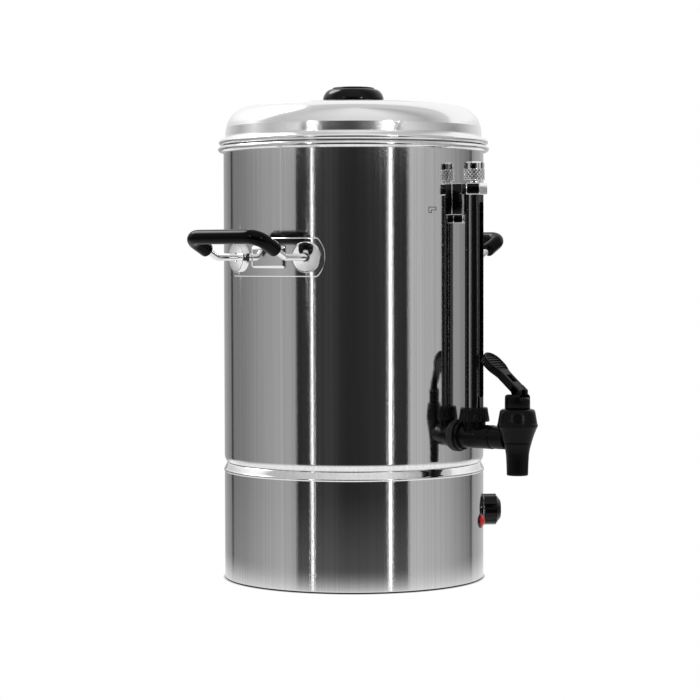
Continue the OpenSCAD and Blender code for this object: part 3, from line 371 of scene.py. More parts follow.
FLOAT, VECTOR = "NodeSocketFloat", "NodeSocketVector"
FINE_SHARE, BROAD_SHARE, RAGGED_SHARE = 0.6, 0.4, 0.3
GRAIN_DEPTH = 0.0002
grain, start, end = new_group(
    "upright_grain", [("Bump", FLOAT, 0.1)], [("Streak", FLOAT), ("Normal", VECTOR)]
)
fine = noise_node(grain, stretched(grain, (1, 1, 0.002)), 1100.0, 2.0)
broad = noise_node(grain, stretched(grain, (1, 1, 0.003)), 280.0, 2.0)
fine = math_node(grain, "MULTIPLY", fine, FINE_SHARE)
streak = math_node(grain, "ADD", fine, math_node(grain, "MULTIPLY", broad, BROAD_SHARE))
grain.links.new(streak, end.inputs["Streak"])
ragged = noise_node(grain, stretched(grain, (1, 1, 0.6)), 1100.0, 2.0)
ragged = ramp_node(grain, ragged, [(0.5, 0.0), (0.75, 1.0)])
uneven = math_node(grain, "ADD", streak, math_node(grain, "MULTIPLY", ragged, RAGGED_SHARE))
bump = add_node(grain, "ShaderNodeBump")
bump.inputs["Distance"].default_value = GRAIN_DEPTH
grain.links.new(start.outputs["Bump"], bump.inputs["Strength"])
grain.links.new(uneven, bump.inputs["Height"])
grain.links.new(bump.outputs[0], end.inputs["Normal"])

smudge, start, end = new_group("smudges", [("Scale", FLOAT, 30.0)], [("Mask", FLOAT)])
place = add_node(smudge, "ShaderNodeTexCoord").outputs["Object"]
cloud = add_node(smudge, "ShaderNodeTexNoise")
smudge.links.new(place, cloud.inputs["Vector"])
smudge.links.new(start.outputs["Scale"], cloud.inputs["Scale"])
cloud.inputs["Detail"].default_value = 4.0
smudge.links.new(cloud.outputs[0], end.inputs["Mask"])

edge_round, start, end = new_group("soft_edges", [("Radius", FLOAT, 0.0004)], [("Normal", VECTOR)])
bevel = add_node(edge_round, "ShaderNodeBevel", samples=6)
edge_round.links.new(start.outputs["Radius"], bevel.inputs["Radius"])
edge_round.links.new(bevel.outputs[0], end.inputs["Normal"])
print("groups", [g.name for g in (grain, smudge, edge_round)])

# %% [markdown]
# ## Materials
# Each material is one Principled BSDF. Only what varies over a surface comes from a group.


# %%
def principled(name, color, metallic=0.0, roughness=0.3, **sockets):
    material = bpy.data.materials.new(name)
    material.use_nodes = True
    shader = material.node_tree.nodes["Principled BSDF"]
    shader.inputs["Base Color"].default_value = (*color, 1)
    shader.inputs["Metallic"].default_value = metallic
    shader.inputs["Roughness"].default_value = roughness
    for key, value in sockets.items():
        shader.inputs[key.replace("_", " ")].default_value = value
    return material, material.node_tree, shader


def use_group(tree, group, **values):
    node = add_node(tree, "ShaderNodeGroup", node_tree=group)
    for key, value in values.items():
        node.inputs[key].default_value = value
    return node


def ranged(tree, value, low, high):
    node = add_node(tree, "ShaderNodeMapRange")
    tree.links.new(value, node.inputs["Value"])
    node.inputs["From Min"].default_value = 0.3
    node.inputs["From Max"].default_value = 0.7
    node.inputs["To Min"].default_value = low
    node.inputs["To Max"].default_value = high
    return node.outputs[0]


def grained_steel(name, grey, rough, bump):
    material, tree, shader = principled(name, (grey, grey, grey), 1.0, rough)
    node = use_group(tree, grain, Bump=bump)
    tree.links.new(node.outputs["Normal"], shader.inputs["Normal"])
    streak = node.outputs["Streak"]
    tree.links.new(ranged(tree, streak, rough * 0.8, rough * 1.3), shader.inputs["Roughness"])
    tree.links.new(ranged(tree, streak, grey * 0.84, grey * 1.05), shader.inputs["Base Color"])
    return material


def smudged(name, color, metallic, rough, spread, edge=0.0, scale=30.0, **sockets):
    material, tree, shader = principled(name, color, metallic, rough, **sockets)
    node = use_group(tree, smudge, Scale=scale)
    tree.links.new(ranged(tree, node.outputs["Mask"], rough, rough + spread), shader.inputs["Roughness"])
    if edge:
        rounded = use_group(tree, edge_round, Radius=edge * MM)
        tree.links.new(rounded.outputs["Normal"], shader.inputs["Normal"])
    return material


print("material helpers ready")

# %% [markdown]
# The record's slots come first. The materials after them are for faces that look different from their slot.

# %%
MATERIALS = {
    "polished_steel": grained_steel("polished_steel", 0.92, 0.06, 0.1),
    "plain_steel": smudged("plain_steel", (0.8, 0.8, 0.8), 1.0, 0.25, 0.1),
    "lid_steel": smudged("lid_steel", (0.94, 0.94, 0.94), 1.0, 0.13, 0.05),
    "base_sheet": smudged("base_sheet", (0.05, 0.05, 0.05), 0.0, 0.5, 0.1),
    "foot_rubber": smudged("foot_rubber", (0.012, 0.012, 0.012), 0.0, 0.6, 0.2),
    "zinc": smudged("zinc", (0.7, 0.7, 0.7), 1.0, 0.28, 0.15, 0.4),
    "black_gloss": smudged(
        "black_gloss", (0.002, 0.002, 0.002), 0.0, 0.06, 0.05, scale=60.0, Specular_IOR_Level=0.2
    ),
    "handle_chrome": smudged("handle_chrome", (0.93, 0.93, 0.93), 1.0, 0.06, 0.05, 0.4),
    "gauge_chrome": smudged("gauge_chrome", (0.92, 0.92, 0.92), 1.0, 0.07, 0.05, 0.4),
    "gauge_tube": smudged(
        "gauge_tube", (0.35, 0.36, 0.36), 0.0, 0.02, 0.02, Transmission_Weight=1.0, IOR=1.47
    ),
    "seal_rubber": smudged("seal_rubber", (0.01, 0.01, 0.01), 0.0, 0.5, 0.2, 0.3),
    "tap_black": smudged(
        "tap_black", (0.002, 0.002, 0.002), 0.0, 0.22, 0.1, 0.6, 60.0, Specular_IOR_Level=0.12
    ),
    "silicone": smudged("silicone", (0.7, 0.7, 0.66), 0.0, 0.45, 0.1),
    "spring_steel": smudged("spring_steel", (0.6, 0.6, 0.6), 1.0, 0.3, 0.1),
    "control_case": smudged("control_case", (0.65, 0.65, 0.6), 0.0, 0.5, 0.1),
    "lamp_black": smudged("lamp_black", (0.006, 0.006, 0.006), 0.0, 0.3, 0.1, 0.3),
    "lamp_red": smudged("lamp_red", (0.5, 0.004, 0.004), 0.0, 0.12, 0.05),
    "element_sheath": smudged("element_sheath", (0.4, 0.39, 0.37), 1.0, 0.35, 0.15),
}
GRIP_GLOSS = smudged(
    "grip_gloss", (0.001, 0.001, 0.001), 0.0, 0.04, 0.03, scale=60.0, Specular_IOR_Level=0.09
)
# The guard's dark chrome is a painted dark reflection. A painted highlight line is added to it below.
GUARD_PAINTED_REFLECTION = smudged("guard_painted_reflection", (0.13, 0.13, 0.13), 1.0, 0.06, 0.05, 0.4)
CAP_CHROME = smudged("cap_chrome", (0.97, 0.97, 0.97), 1.0, 0.08, 0.04)
INNER_SATIN = smudged("inner_satin", (0.6, 0.6, 0.6), 0.6, 0.35, 0.1)
# Painted shade for the cap's grooves and notches, and painted dark reflection on the fitting's flat sides.
SHADE_AND_REFLECTION_CHROME = smudged("shade_and_reflection_chrome", (0.02, 0.02, 0.02), 1.0, 0.12, 0.08)
DISC_SATIN = smudged("disc_satin", (0.95, 0.95, 0.95), 1.0, 0.05, 0.03, 0.3)
BRIGHT_CHROME = smudged("bright_chrome", (0.93, 0.93, 0.93), 1.0, 0.1, 0.06)
PLATE_SATIN = smudged("plate_satin", (0.93, 0.93, 0.93), 1.0, 0.06, 0.04)
print("materials", len(MATERIALS))

# %% [markdown]
# The gauge's guard is painted dark as a painted reflection of the dark room, with one painted highlight line
# along it.
# Every solid then gets the material of its slot.

# %%
HIGHLIGHT_LINE_AZIMUTH = math.radians(-79.5)
# Tones of the painted highlight line by the distance from its middle, in millimetres.
GUARD_HIGHLIGHT_LINE = [(0.35, 0.95), (0.6, 0.13)]

tree = GUARD_PAINTED_REFLECTION.node_tree
shader = tree.nodes["Principled BSDF"]
place = add_node(tree, "ShaderNodeTexCoord").outputs["Object"]
line_side = Vector((math.cos(HIGHLIGHT_LINE_AZIMUTH), math.sin(HIGHLIGHT_LINE_AZIMUTH), 0))
offset = math_node(tree, "ADD", dot_node(tree, place, line_side), GAUGE_R * MM * line_side.y)
offset = math_node(tree, "ABSOLUTE", offset)
line = ramp_node(tree, math_node(tree, "MULTIPLY", offset, 1 / MM), GUARD_HIGHLIGHT_LINE)
tree.links.new(line, shader.inputs["Base Color"])
SLOTS = {part["node"]: part["material_slot"] for part in frame["record"]["subparts"]}
for name, node in NODES.items():
    node.data.materials.clear()
    node.data.materials.append(MATERIALS[SLOTS[name]])
for name in ("gauge_guard", "gauge_fitting"):
    NODES[name].data.materials[0] = GUARD_PAINTED_REFLECTION
print("dressed solids", len(SLOTS))

# %% [markdown]
# ## Mesh helpers
# Every piece is finished in one place. Arcs and fillets round an outline's corners.


# %%
def finish_piece(name, bm, slot, body, nodes, sharp=32.0):
    bmesh.ops.remove_doubles(bm, verts=bm.verts, dist=1e-7)
    bmesh.ops.recalc_face_normals(bm, faces=bm.faces)
    mesh = bpy.data.meshes.new(name)
    bm.to_mesh(mesh)
    bm.free()
    mesh.polygons.foreach_set("use_smooth", [True] * len(mesh.polygons))
    mesh.set_sharp_from_angle(angle=math.radians(sharp))
    piece = bpy.data.objects.new(name, mesh)
    bpy.context.collection.objects.link(piece)
    mesh.materials.append(MATERIALS[slot])
    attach(piece, body)
    if nodes:
        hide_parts(*nodes)
    return piece


def arc(mid, radius, start, end, steps):
    angles = [math.radians(start + (end - start) * i / steps) for i in range(steps + 1)]
    return [(mid[0] + radius * math.cos(a), mid[1] + radius * math.sin(a)) for a in angles]


def fillet(points, steps=5):
    """Rounds each corner of a closed outline by its own radius: points are (x, y, radius)."""
    out = []
    count = len(points)
    for i, (x, y, radius) in enumerate(points):
        here = Vector((x, y))
        before = Vector(points[i - 1][:2]) - here
        after = Vector(points[(i + 1) % count][:2]) - here
        if radius <= 0 or before.length < 1e-9 or after.length < 1e-9:
            out.append((x, y))
            continue
        corner = before.angle(after)
        reach = min(radius / math.tan(corner / 2), before.length * 0.49, after.length * 0.49)
        first = here + before.normalized() * reach
        last = here + after.normalized() * reach
        for k in range(steps + 1):
            t = k / steps
            point = first * (1 - t) ** 2 + here * 2 * t * (1 - t) + last * t**2
            out.append((point.x, point.y))
    return out


print("outline helpers ready")

# %% [markdown]
# A lathe turns an outline about Z, and a sweep draws a tube along a path.
# Rings of vertices are bridged one by one, and a slab joins two grids that lie opposite each other.


# %%
def lathe(bm, outline, segments=160, matrix=None):
    """Turns a closed outline of (radius, height) about Z, both in millimetres."""
    matrix = matrix or Matrix.Identity(4)
    rings = []
    for a in turns(segments):
        ca, sa = math.cos(a), math.sin(a)
        rings.append([bm.verts.new(matrix @ Vector((r * ca * MM, r * sa * MM, z * MM))) for r, z in outline])
    count = len(outline)
    for i in range(segments):
        here, there = rings[i], rings[(i + 1) % segments]
        for j in range(count):
            k = (j + 1) % count
            if outline[j][0] < 1e-6 and outline[k][0] < 1e-6:
                continue
            corners = [here[j], there[j], there[k], here[k]]
            if outline[j][0] < 1e-6:
                corners = [here[j], there[k], here[k]]
            elif outline[k][0] < 1e-6:
                corners = [here[j], there[j], here[k]]
            bm.faces.new(corners)


def outward(azimuth, z):
    """Places a piece so that its Z points out of the body and its Y points up."""
    spin = Matrix.Rotation(math.radians(azimuth), 4, "Z")
    return spin @ Matrix.Translation((0, 0, z * MM)) @ Matrix.Rotation(math.pi / 2, 4, "X")


def turns(count):
    """Evenly spaced angles round a full turn."""
    return [2 * math.pi * k / count for k in range(count)]


def gauge_ring(bm, radii, z):
    """A ring of vertices about the gauge's axis, with a radius for each of its columns."""
    columns = zip(turns(len(radii)), radii)
    return [
        bm.verts.new(Vector((r * math.cos(a), r * math.sin(a) - GAUGE_R, z)) * MM) for a, r in columns
    ]


def bridge(bm, rings):
    """Joins each ring to the next one."""
    for first, second in zip(rings, rings[1:]):
        count = len(first)
        for k in range(count):
            n = (k + 1) % count
            bm.faces.new((first[k], first[n], second[n], second[k]))


def close_ends(bm, rings):
    bm.faces.new(list(reversed(rings[0])))
    bm.faces.new(rings[-1])


def slab(bm, front, back):
    """Joins two grids into one closed body."""
    rows = len(front[0]) - 1
    for grid in (front, back):
        for a, b in zip(grid, grid[1:]):
            for k in range(rows):
                bm.faces.new((a[k], b[k], b[k + 1], a[k + 1]))
    for a, b, c, d in zip(front, front[1:], back, back[1:]):
        bm.faces.new((a[0], b[0], d[0], c[0]))
        bm.faces.new((a[-1], b[-1], d[-1], c[-1]))
    for a, c in ((front[0], back[0]), (front[-1], back[-1])):
        for k in range(rows):
            bm.faces.new((a[k], a[k + 1], c[k + 1], c[k]))


def sweep(bm, path, radii, sides=28):
    """Draws a tube along a path of points in millimetres, with a radius at each point."""
    points = [Vector(p) * MM for p in path]
    tangents = []
    for i in range(len(points)):
        ahead = points[min(i + 1, len(points) - 1)] - points[max(i - 1, 0)]
        tangents.append(ahead.normalized())
    normal = tangents[0].orthogonal().normalized()
    rings = []
    for i, point in enumerate(points):
        if i:
            normal = (tangents[i - 1].rotation_difference(tangents[i]) @ normal).normalized()
        binormal = tangents[i].cross(normal)
        spokes = [normal * math.cos(a) + binormal * math.sin(a) for a in turns(sides)]
        rings.append([bm.verts.new(point + spoke * radii[i] * MM) for spoke in spokes])
    bridge(bm, rings)
    close_ends(bm, rings)


print("mesh helpers ready")

# %% [markdown]
# ## Tank and base
# The tank's wall, rim and rounded floor are one smooth shell, so that its reflections run through.
# Its inside is a duller satin. Outlines are lists of (radius, height).

# %%
RIM_FROM = 229.1 - 360
inner = BODY_R - SHEET
corner_mid = (BODY_R - TANK_CORNER, CORNER_Z)
rim_mid = (inner + RIM_BEAD, RIM_Z)
tank_outline = (
    [(0, FLOOR_Z)]
    + arc(corner_mid, TANK_CORNER, -90, 0, 16)
    + [(BODY_R, CORNER_Z + 0.4), (BODY_R, CORNER_Z + 2.0)]
    + arc(rim_mid, RIM_BEAD, RIM_FROM, 180, 28)
    + arc(corner_mid, TANK_CORNER - SHEET, 0, -90, 10)
    + [(0, FLOOR_Z + SHEET)]
)
bm = bmesh.new()
lathe(bm, tank_outline, 256)
tank = finish_piece("tank_shell", bm, "polished_steel", "urn", ["tank_wall", "tank_floor"])
tank.data.materials.append(INNER_SATIN)
for face in tank.data.polygons:
    inward = face.normal.x * face.center.x + face.normal.y * face.center.y < 0
    in_wall = inward and face.center.z < (RIM_Z - 2.0) * MM
    in_floor = face.normal.z > 0.5 and face.center.z < CORNER_Z * MM
    if in_wall or in_floor:
        face.material_index = 1
print("tank faces", len(tank.data.polygons))

# %% [markdown]
# The base's skirt stands on a small rounded edge. A bead and a shoulder lead up to the tank.

# %%
foot_edge = [(BODY_R - 0.5, SKIRT_LOW), (BODY_R - 0.15, SKIRT_LOW + 0.2), (BODY_R, SKIRT_LOW + 0.6)]
skirt_wall = [(BODY_R, SKIRT_LOW + 0.9), (BODY_R, 94.7), (BODY_R, 95.0)]
seam_bead = [
    (BODY_R + 0.28, 95.25), (BODY_R + 0.5, 95.8), (BODY_R + 0.55, 96.4), (BODY_R + 0.5, 97.0),
    (BODY_R + 0.2, 97.45),
]
shoulder = [
    (114.95, 97.75), (114.75, 98.2), (113.75, 100.4), (112.95, 102.0), (112.6, 102.6), (112.3, 102.86),
]
shoulder_back = [(111.6, 102.0), (112.8, 99.9), (113.8, 97.6), (inner, 96.6)]
skirt_outline = [(inner, SKIRT_LOW)] + foot_edge + skirt_wall + seam_bead + shoulder + shoulder_back
bm = bmesh.new()
lathe(bm, skirt_outline, 256)
skirt = finish_piece("base_shell", bm, "polished_steel", "urn", ["base_skirt"])
print("base faces", len(skirt.data.polygons))

# %% [markdown]
# ## Lid
# The dome has a rolled edge, a short upright foot, a round shoulder and a nearly flat crown.

# %%
LID_FOOT_R = 113.2
LID_BEAD = 2.7
LID_SHOULDER = 22.0
LID_CROWN = 560.0
LID_LAND = 29.0
LID_EDGE = (116.3, 385.0)
LID_TURN = (12.0, 83.4)
shoulder_mid = (91.08, 394.2)
crown_mid = (LID_LAND, LID_TOP - LID_CROWN)


def dome_line(inset):
    low, high = LID_TURN
    shoulder_arc = arc(shoulder_mid, LID_SHOULDER - inset, low, high, 30)
    return shoulder_arc + arc(crown_mid, LID_CROWN - inset, high, 90, 14)


lid_outline = (
    arc(LID_EDGE, LID_BEAD, -180, 75, 26)
    + [(115.0, 387.75), (114.2, 388.15), (113.7, 388.8), (113.35, 389.8), (LID_FOOT_R, 390.8)]
    + [(113.18, 391.1), (112.82, 398.0), (112.78, 398.3)]
    + dome_line(0)
    + [(0, LID_TOP), (0, LID_TOP - SHEET)]
    + list(reversed(dome_line(SHEET)))
    + [(111.7, 398.0), (LID_FOOT_R - SHEET, 390.6), (LID_FOOT_R - SHEET, 386.7)]
)
bm = bmesh.new()
lathe(bm, lid_outline, 256)
lid = finish_piece("lid_shell", bm, "lid_steel", "lid", ["lid_dome"])
print("lid faces", len(lid.data.polygons))

# %% [markdown]
# The knob is a squat black button with a thin disc let into its top.

# %%
KNOB_TOP = 432.2
KNOB_FLAT_R, KNOB_ROUND_Z = 19.1, 422.0
KNOB_ROUND = (7.9, 10.2)
knob_side = [
    (KNOB_FLAT_R + KNOB_ROUND[0] * math.cos(a), KNOB_ROUND_Z + KNOB_ROUND[1] * math.sin(a))
    for a in (math.radians(degrees) for degrees in range(0, 91, 6))
]
bm = bmesh.new()
lathe(bm, [(0, LID_TOP), (26.5, LID_TOP), (27.0, LID_TOP + 0.5)] + knob_side + [(0, KNOB_TOP)], 128)
finish_piece("lid_grip", bm, "black_gloss", "lid", ["lid_knob"])
disc = [
    (0, KNOB_TOP), (17.9, KNOB_TOP), (18.5, 432.5), (18.6, 433.0), (18.2, 433.45), (17.4, 433.7), (0, 434.0),
]
bm = bmesh.new()
lathe(bm, disc, 128)
finish_piece("lid_grip_disc", bm, "black_gloss", "lid", ["lid_knob_cap"], sharp=40)
print("lid knob made")

# %% [markdown]
# ## Handles
# A bent rod is welded to a curved plate. Two discs cover its ends and a black sleeve covers its grip.

# %%
ROD_HALF = 38.3
ROD_BEND = math.radians(26.5)
ROD_BEND_R = 12.0
BEND_AT = 138.0
GRIP_CORNER = 11.0
GRIP_REACH = 34.0
SLOPE_LEN = GRIP_REACH / math.cos(ROD_BEND)
GRIP_FROM = 13.0
GRIP_R = 6.2
GRIP_ENDS = [5.2, 5.75, 6.1]
ROD_R = 3.0
ROD_FROM = 110.4
PLATE_FACE = 116.35
PLATE_HALF = (53.0, 16.5)
PLATE_END_R = 25.0
PANEL_HALF = (19.0, 9.5)
PANEL_CORNER, PANEL_RISE, PANEL_SLOPE = 2.5, 1.2, 2.4
BORDER_DROP, BORDER_WIDTH = 0.5, 0.6
bend_tangent = ROD_BEND_R * math.tan(ROD_BEND / 2)


def on_slope(along, across):
    return (BEND_AT + along * math.cos(ROD_BEND), across, HANDLE_Z + along * math.sin(ROD_BEND))


def half_grip(start):
    """One half of the sloping loop, from its straight leg to the middle of the crossbar."""
    end = SLOPE_LEN - GRIP_CORNER
    legs = [on_slope(start + (end - start) * i / 6, ROD_HALF) for i in range(6)]
    round_part = [
        on_slope(end + GRIP_CORNER * math.sin(a), ROD_HALF - GRIP_CORNER + GRIP_CORNER * math.cos(a))
        for a in (math.pi / 2 * i / 14 for i in range(15))
    ]
    bar = [on_slope(SLOPE_LEN, (ROD_HALF - GRIP_CORNER) * (1 - i / 5)) for i in range(1, 6)]
    return legs + round_part + bar


def whole_loop(half):
    return half + [(x, -y, z) for x, y, z in reversed(half[:-1])]


def spun(path, angle):
    spin = Matrix.Rotation(angle, 3, "Z")
    return [spin @ Vector(point) for point in path]


rod_leg = [(ROD_FROM + (BEND_AT - bend_tangent - ROD_FROM) * i / 4, ROD_HALF, HANDLE_Z) for i in range(4)]
rod_curve = [
    (BEND_AT - bend_tangent + ROD_BEND_R * math.sin(a), ROD_HALF, HANDLE_Z + ROD_BEND_R * (1 - math.cos(a)))
    for a in (ROD_BEND * i / 8 for i in range(8))
]
rod_path = whole_loop(rod_leg + rod_curve + half_grip(bend_tangent))
grip_end = [on_slope(GRIP_FROM + along, ROD_HALF) for along in (0.0, 0.15, 0.6)]
grip_path = whole_loop(grip_end + half_grip(GRIP_FROM + 1.4))
grip_radii = GRIP_ENDS + [GRIP_R] * (len(grip_path) - 2 * len(GRIP_ENDS)) + GRIP_ENDS[::-1]
print("rod points", len(rod_path), "grip points", len(grip_path))

# %% [markdown]
# The plate is a curved sheet with round ends, a stamped panel and a rolled border.


# %%
def plate_height(across):
    """Half the plate's height. Its ends are round."""
    long, tall = PLATE_HALF
    beyond = abs(across) - (long - PLATE_END_R)
    return min(tall, math.sqrt(max(PLATE_END_R**2 - beyond**2, 0.0))) if beyond > 0 else tall


def smooth_step(x):
    x = min(max(x, 0.0), 1.0)
    return x * x * (3 - 2 * x)


def panel_rise(across, up):
    """The stamped panel stands proud inside a rounded rectangle."""
    dx = max(abs(across) - (PANEL_HALF[0] - PANEL_CORNER), 0.0)
    dz = max(abs(up) - (PANEL_HALF[1] - PANEL_CORNER), 0.0)
    return PANEL_RISE * min(max((PANEL_CORNER - math.hypot(dx, dz)) / PANEL_SLOPE, 0.0), 1.0)


def rim_drop(across, up):
    """The plate's border is rolled back a little, which gives it a bright line."""
    inside = min(plate_height(across) - abs(up), PLATE_HALF[0] - abs(across))
    return BORDER_DROP * (1 - smooth_step(inside / BORDER_WIDTH))


def handle_sheet(bm, spin):
    stations = [-52.9, -52.6, -52.2, -51.8, -51.2, -50.6, -49.8, -49, -48.2, -47.4]
    stations += [-46.5 + 93.0 * i / 124 for i in range(125)]
    stations += [-x for x in reversed(stations[:10])]
    edge_rows = [0.2, 0.4, 0.6, 1.0]
    front, back = [], []
    for across in stations:
        tall = plate_height(across)
        ups = [-tall] + [-tall + e for e in edge_rows]
        ups += [(tall - 1.8) * (2 * k / 44 - 1) for k in range(45)]
        ups += [tall - e for e in reversed(edge_rows)] + [tall]
        column, hidden = [], []
        for up in ups:
            face = PLATE_FACE + panel_rise(across, up) - rim_drop(across, up)
            for radius, target in ((face, column), (WALL_FACE, hidden)):
                angle = math.asin(across / PLATE_FACE)
                point = Vector((radius * math.cos(angle), radius * math.sin(angle), HANDLE_Z + up)) * MM
                target.append(bm.verts.new(spin @ point))
        front.append(column)
        back.append(hidden)
    slab(bm, front, back)


print("plate functions ready")

# %% [markdown]
# Both handles are alike. The discs' flat faces have extra rings, so that their shading stays flat.

# %%
DISC = fillet([
    (3.5, 115.4, 0), (13.0, 115.4, 0), (13.0, 119.4, 0.9), (12.0, 119.4, 0), (11.9, 119.4, 0),
    (4.3, 119.4, 0), (4.2, 119.4, 0), (3.5, 119.4, 0.5),
])
DISC_TURN = math.degrees(math.asin(ROD_HALF / PLATE_FACE))
for side, angle in (("right", 0.0), ("left", math.pi)):
    spin = Matrix.Rotation(angle, 4, "Z")
    bm = bmesh.new()
    handle_sheet(bm, spin)
    plate = finish_piece("plate_" + side, bm, "handle_chrome", "urn", ["handle_plate_" + side], sharp=50)
    plate.data.materials[0] = PLATE_SATIN
    bm = bmesh.new()
    for turned in (-DISC_TURN, DISC_TURN):
        lathe(bm, DISC, 64, outward(90 + math.degrees(angle) + turned, HANDLE_Z))
    discs = finish_piece("discs_" + side, bm, "handle_chrome", "urn", ["handle_discs_" + side])
    discs.data.materials[0] = DISC_SATIN
    bm = bmesh.new()
    sweep(bm, spun(rod_path, angle), [ROD_R] * len(rod_path))
    finish_piece("rod_" + side, bm, "handle_chrome", "urn", ["handle_rod_" + side])
    bm = bmesh.new()
    sweep(bm, spun(grip_path, angle), grip_radii, 36)
    grip = finish_piece("grip_" + side, bm, "black_gloss", "urn", ["handle_grip_" + side], sharp=50)
    grip.data.materials[0] = GRIP_GLOSS
print("handles made")

# %% [markdown]
# ## Gauge cap
# The cap has a diamond knurl below and a ring of battlements above. The knurl's grooves and the notches
# have painted shade: they get a dark chrome.

# %%
CAP_Z = 348.8
CAP_CROWN = 358.8
CAP_TOP = 363.9
CAP_DOME = [(0.87, 0.05), (0.7, 0.8), (0.45, 1.15), (0.0, 1.2)]
NECK_R, KNURL_R, CROWN_R = 8.45, 9.0, 8.7
KNURL_STARTS, KNURL_PITCH, KNURL_DEPTH = 16, 3.4, 0.6
NOTCHES, NOTCH_DEPTH = 6, 2.0
BORE_R, BORE_TOP = 6.28, 357.5


def cap_radius(angle, z):
    if z < CAP_Z + 0.4 or CAP_CROWN - 0.5 < z < CAP_CROWN + 0.2:
        return NECK_R
    if z < CAP_CROWN:
        a = angle * KNURL_STARTS / (2 * math.pi)
        b = (z - CAP_Z) / KNURL_PITCH
        ridge = min(abs((a + b) % 1.0 - 0.5), abs((a - b) % 1.0 - 0.5))
        return KNURL_R - KNURL_DEPTH * smooth_step(1.2 - ridge * 5)
    notch = abs(angle / (2 * math.pi) * NOTCHES % 1.0 - 0.5)
    return CROWN_R - NOTCH_DEPTH * smooth_step((0.2 - notch) / 0.03)


def knurled_cap(bm, columns=360):
    levels = [CAP_Z, CAP_Z + 0.4] + [CAP_Z + 0.41 + 9.08 * i / 30 for i in range(31)]
    levels += [CAP_CROWN - 0.4, CAP_CROWN + 0.15, CAP_CROWN + 0.25, CAP_CROWN + 2, CAP_TOP - 0.4]
    angles = turns(columns)
    outside = [gauge_ring(bm, [cap_radius(a, z) for a in angles], z) for z in levels]
    outside.append(gauge_ring(bm, [cap_radius(a, CAP_TOP - 0.4) * 0.95 for a in angles], CAP_TOP))
    for scale, rise in CAP_DOME:
        outside.append(gauge_ring(bm, [CROWN_R * scale] * columns, CAP_TOP + rise))
    bore = [gauge_ring(bm, [BORE_R] * columns, z) for z in (BORE_TOP, CAP_Z)]
    bridge(bm, outside)
    bridge(bm, bore + outside[:1])
    bm.faces.new(bore[0])


bm = bmesh.new()
knurled_cap(bm)
cap = finish_piece("knurled_cap", bm, "gauge_chrome", "cap", ["gauge_cap"], sharp=40)
cap.data.materials[0] = CAP_CHROME
cap.data.materials.append(SHADE_AND_REFLECTION_CHROME)
# The grooves and notches get the dark chrome as painted shade.
for face in cap.data.polygons:
    x, y, z = face.center / MM
    radius = math.hypot(x, y + GAUGE_R)
    notched = z > CAP_CROWN + 0.2 and radius < 8.0
    grooved = CAP_Z + 0.6 < z < CAP_CROWN - 0.6 and radius < 8.66
    if grooved or (notched and abs(face.normal.z) < 0.5):
        face.material_index = 1
print("cap made", sum(face.material_index for face in cap.data.polygons), "dark faces")

# %% [markdown]
# The fitting below the cap has rounded upright edges. Its flat sides get a painted dark reflection, and its
# edges shine.

# %%
HEX_R = 11.3
FITTING_Z = 336.7
FITTING_TOP = 346.6
BLOCK_LOW = 319.6
STEP_LOW = 312.8
STUD_Z = 333.1


def prism(bm, plan, low, high, soft=0.5):
    """An upright prism with softened rims. The plan is a list of (x, y) in millimetres."""
    mid_x = sum(x for x, y in plan) / len(plan)
    mid_y = sum(y for x, y in plan) / len(plan)
    half = max(abs(x - mid_x) for x, y in plan)
    shrink = 1 - soft / half
    rings = []
    for z, scale in ((low, shrink), (low + soft, 1.0), (high - soft, 1.0), (high, shrink)):
        ring = [((x - mid_x) * scale + mid_x, (y - mid_y) * scale + mid_y) for x, y in plan]
        rings.append([bm.verts.new(Vector((x, y, z)) * MM) for x, y in ring])
    bridge(bm, rings)
    close_ends(bm, rings)


def fitting_block(bm):
    hexagon = [(HEX_R * math.cos(a), HEX_R * math.sin(a) - GAUGE_R, 1.0) for a in turns(6)]
    prism(bm, fillet(hexagon), FITTING_Z, FITTING_TOP, 0.6)
    block = (8.25, BLOCK_LOW, FITTING_TOP, 0.5)
    step = (6.25, STEP_LOW, BLOCK_LOW + 0.6, 0.4)
    front = 8.3 - GAUGE_R
    for half, low, high, soft in (block, step):
        wall = -math.sqrt(WALL_FACE**2 - half**2)
        plan = [
            (-half, wall, 0.3), (-half, front - 2.0, 1.3), (-half + 2.4, front, 0), (half - 2.4, front, 0),
            (half, front - 2.0, 1.3), (half, wall, 0.3), (0, -WALL_FACE, 0),
        ]
        prism(bm, fillet(plan), low, high, soft)
    gauge_axis = Matrix.Translation((0, -GAUGE_R * MM, 0))
    lathe(bm, [(3.1, 345.0), (6.2, 345.0), (6.2, 356.6), (5.8, 357.0), (3.1, 357.0)], 64, gauge_axis)
    lathe(bm, [(0, 103.0), (3.6, 103.0), (4.0, 103.4), (4.0, 117.0), (0, 117.0)], 48, outward(0, STUD_Z))


bm = bmesh.new()
fitting_block(bm)
fitting = finish_piece("fitting_block", bm, "gauge_chrome", "urn", ["gauge_fitting"], sharp=60)
fitting.data.materials[0] = BRIGHT_CHROME
fitting.data.materials.append(SHADE_AND_REFLECTION_CHROME)
# Flat upright sides facing along X get the dark chrome as a painted dark reflection.
for face in fitting.data.polygons:
    if abs(face.normal.z) < 0.1 and abs(face.normal.x) > 0.8 and face.area > 8e-6:
        face.material_index = 1
print("fitting made")

# %% [markdown]
# The lamp's lens is a full dome in a flat black rim.

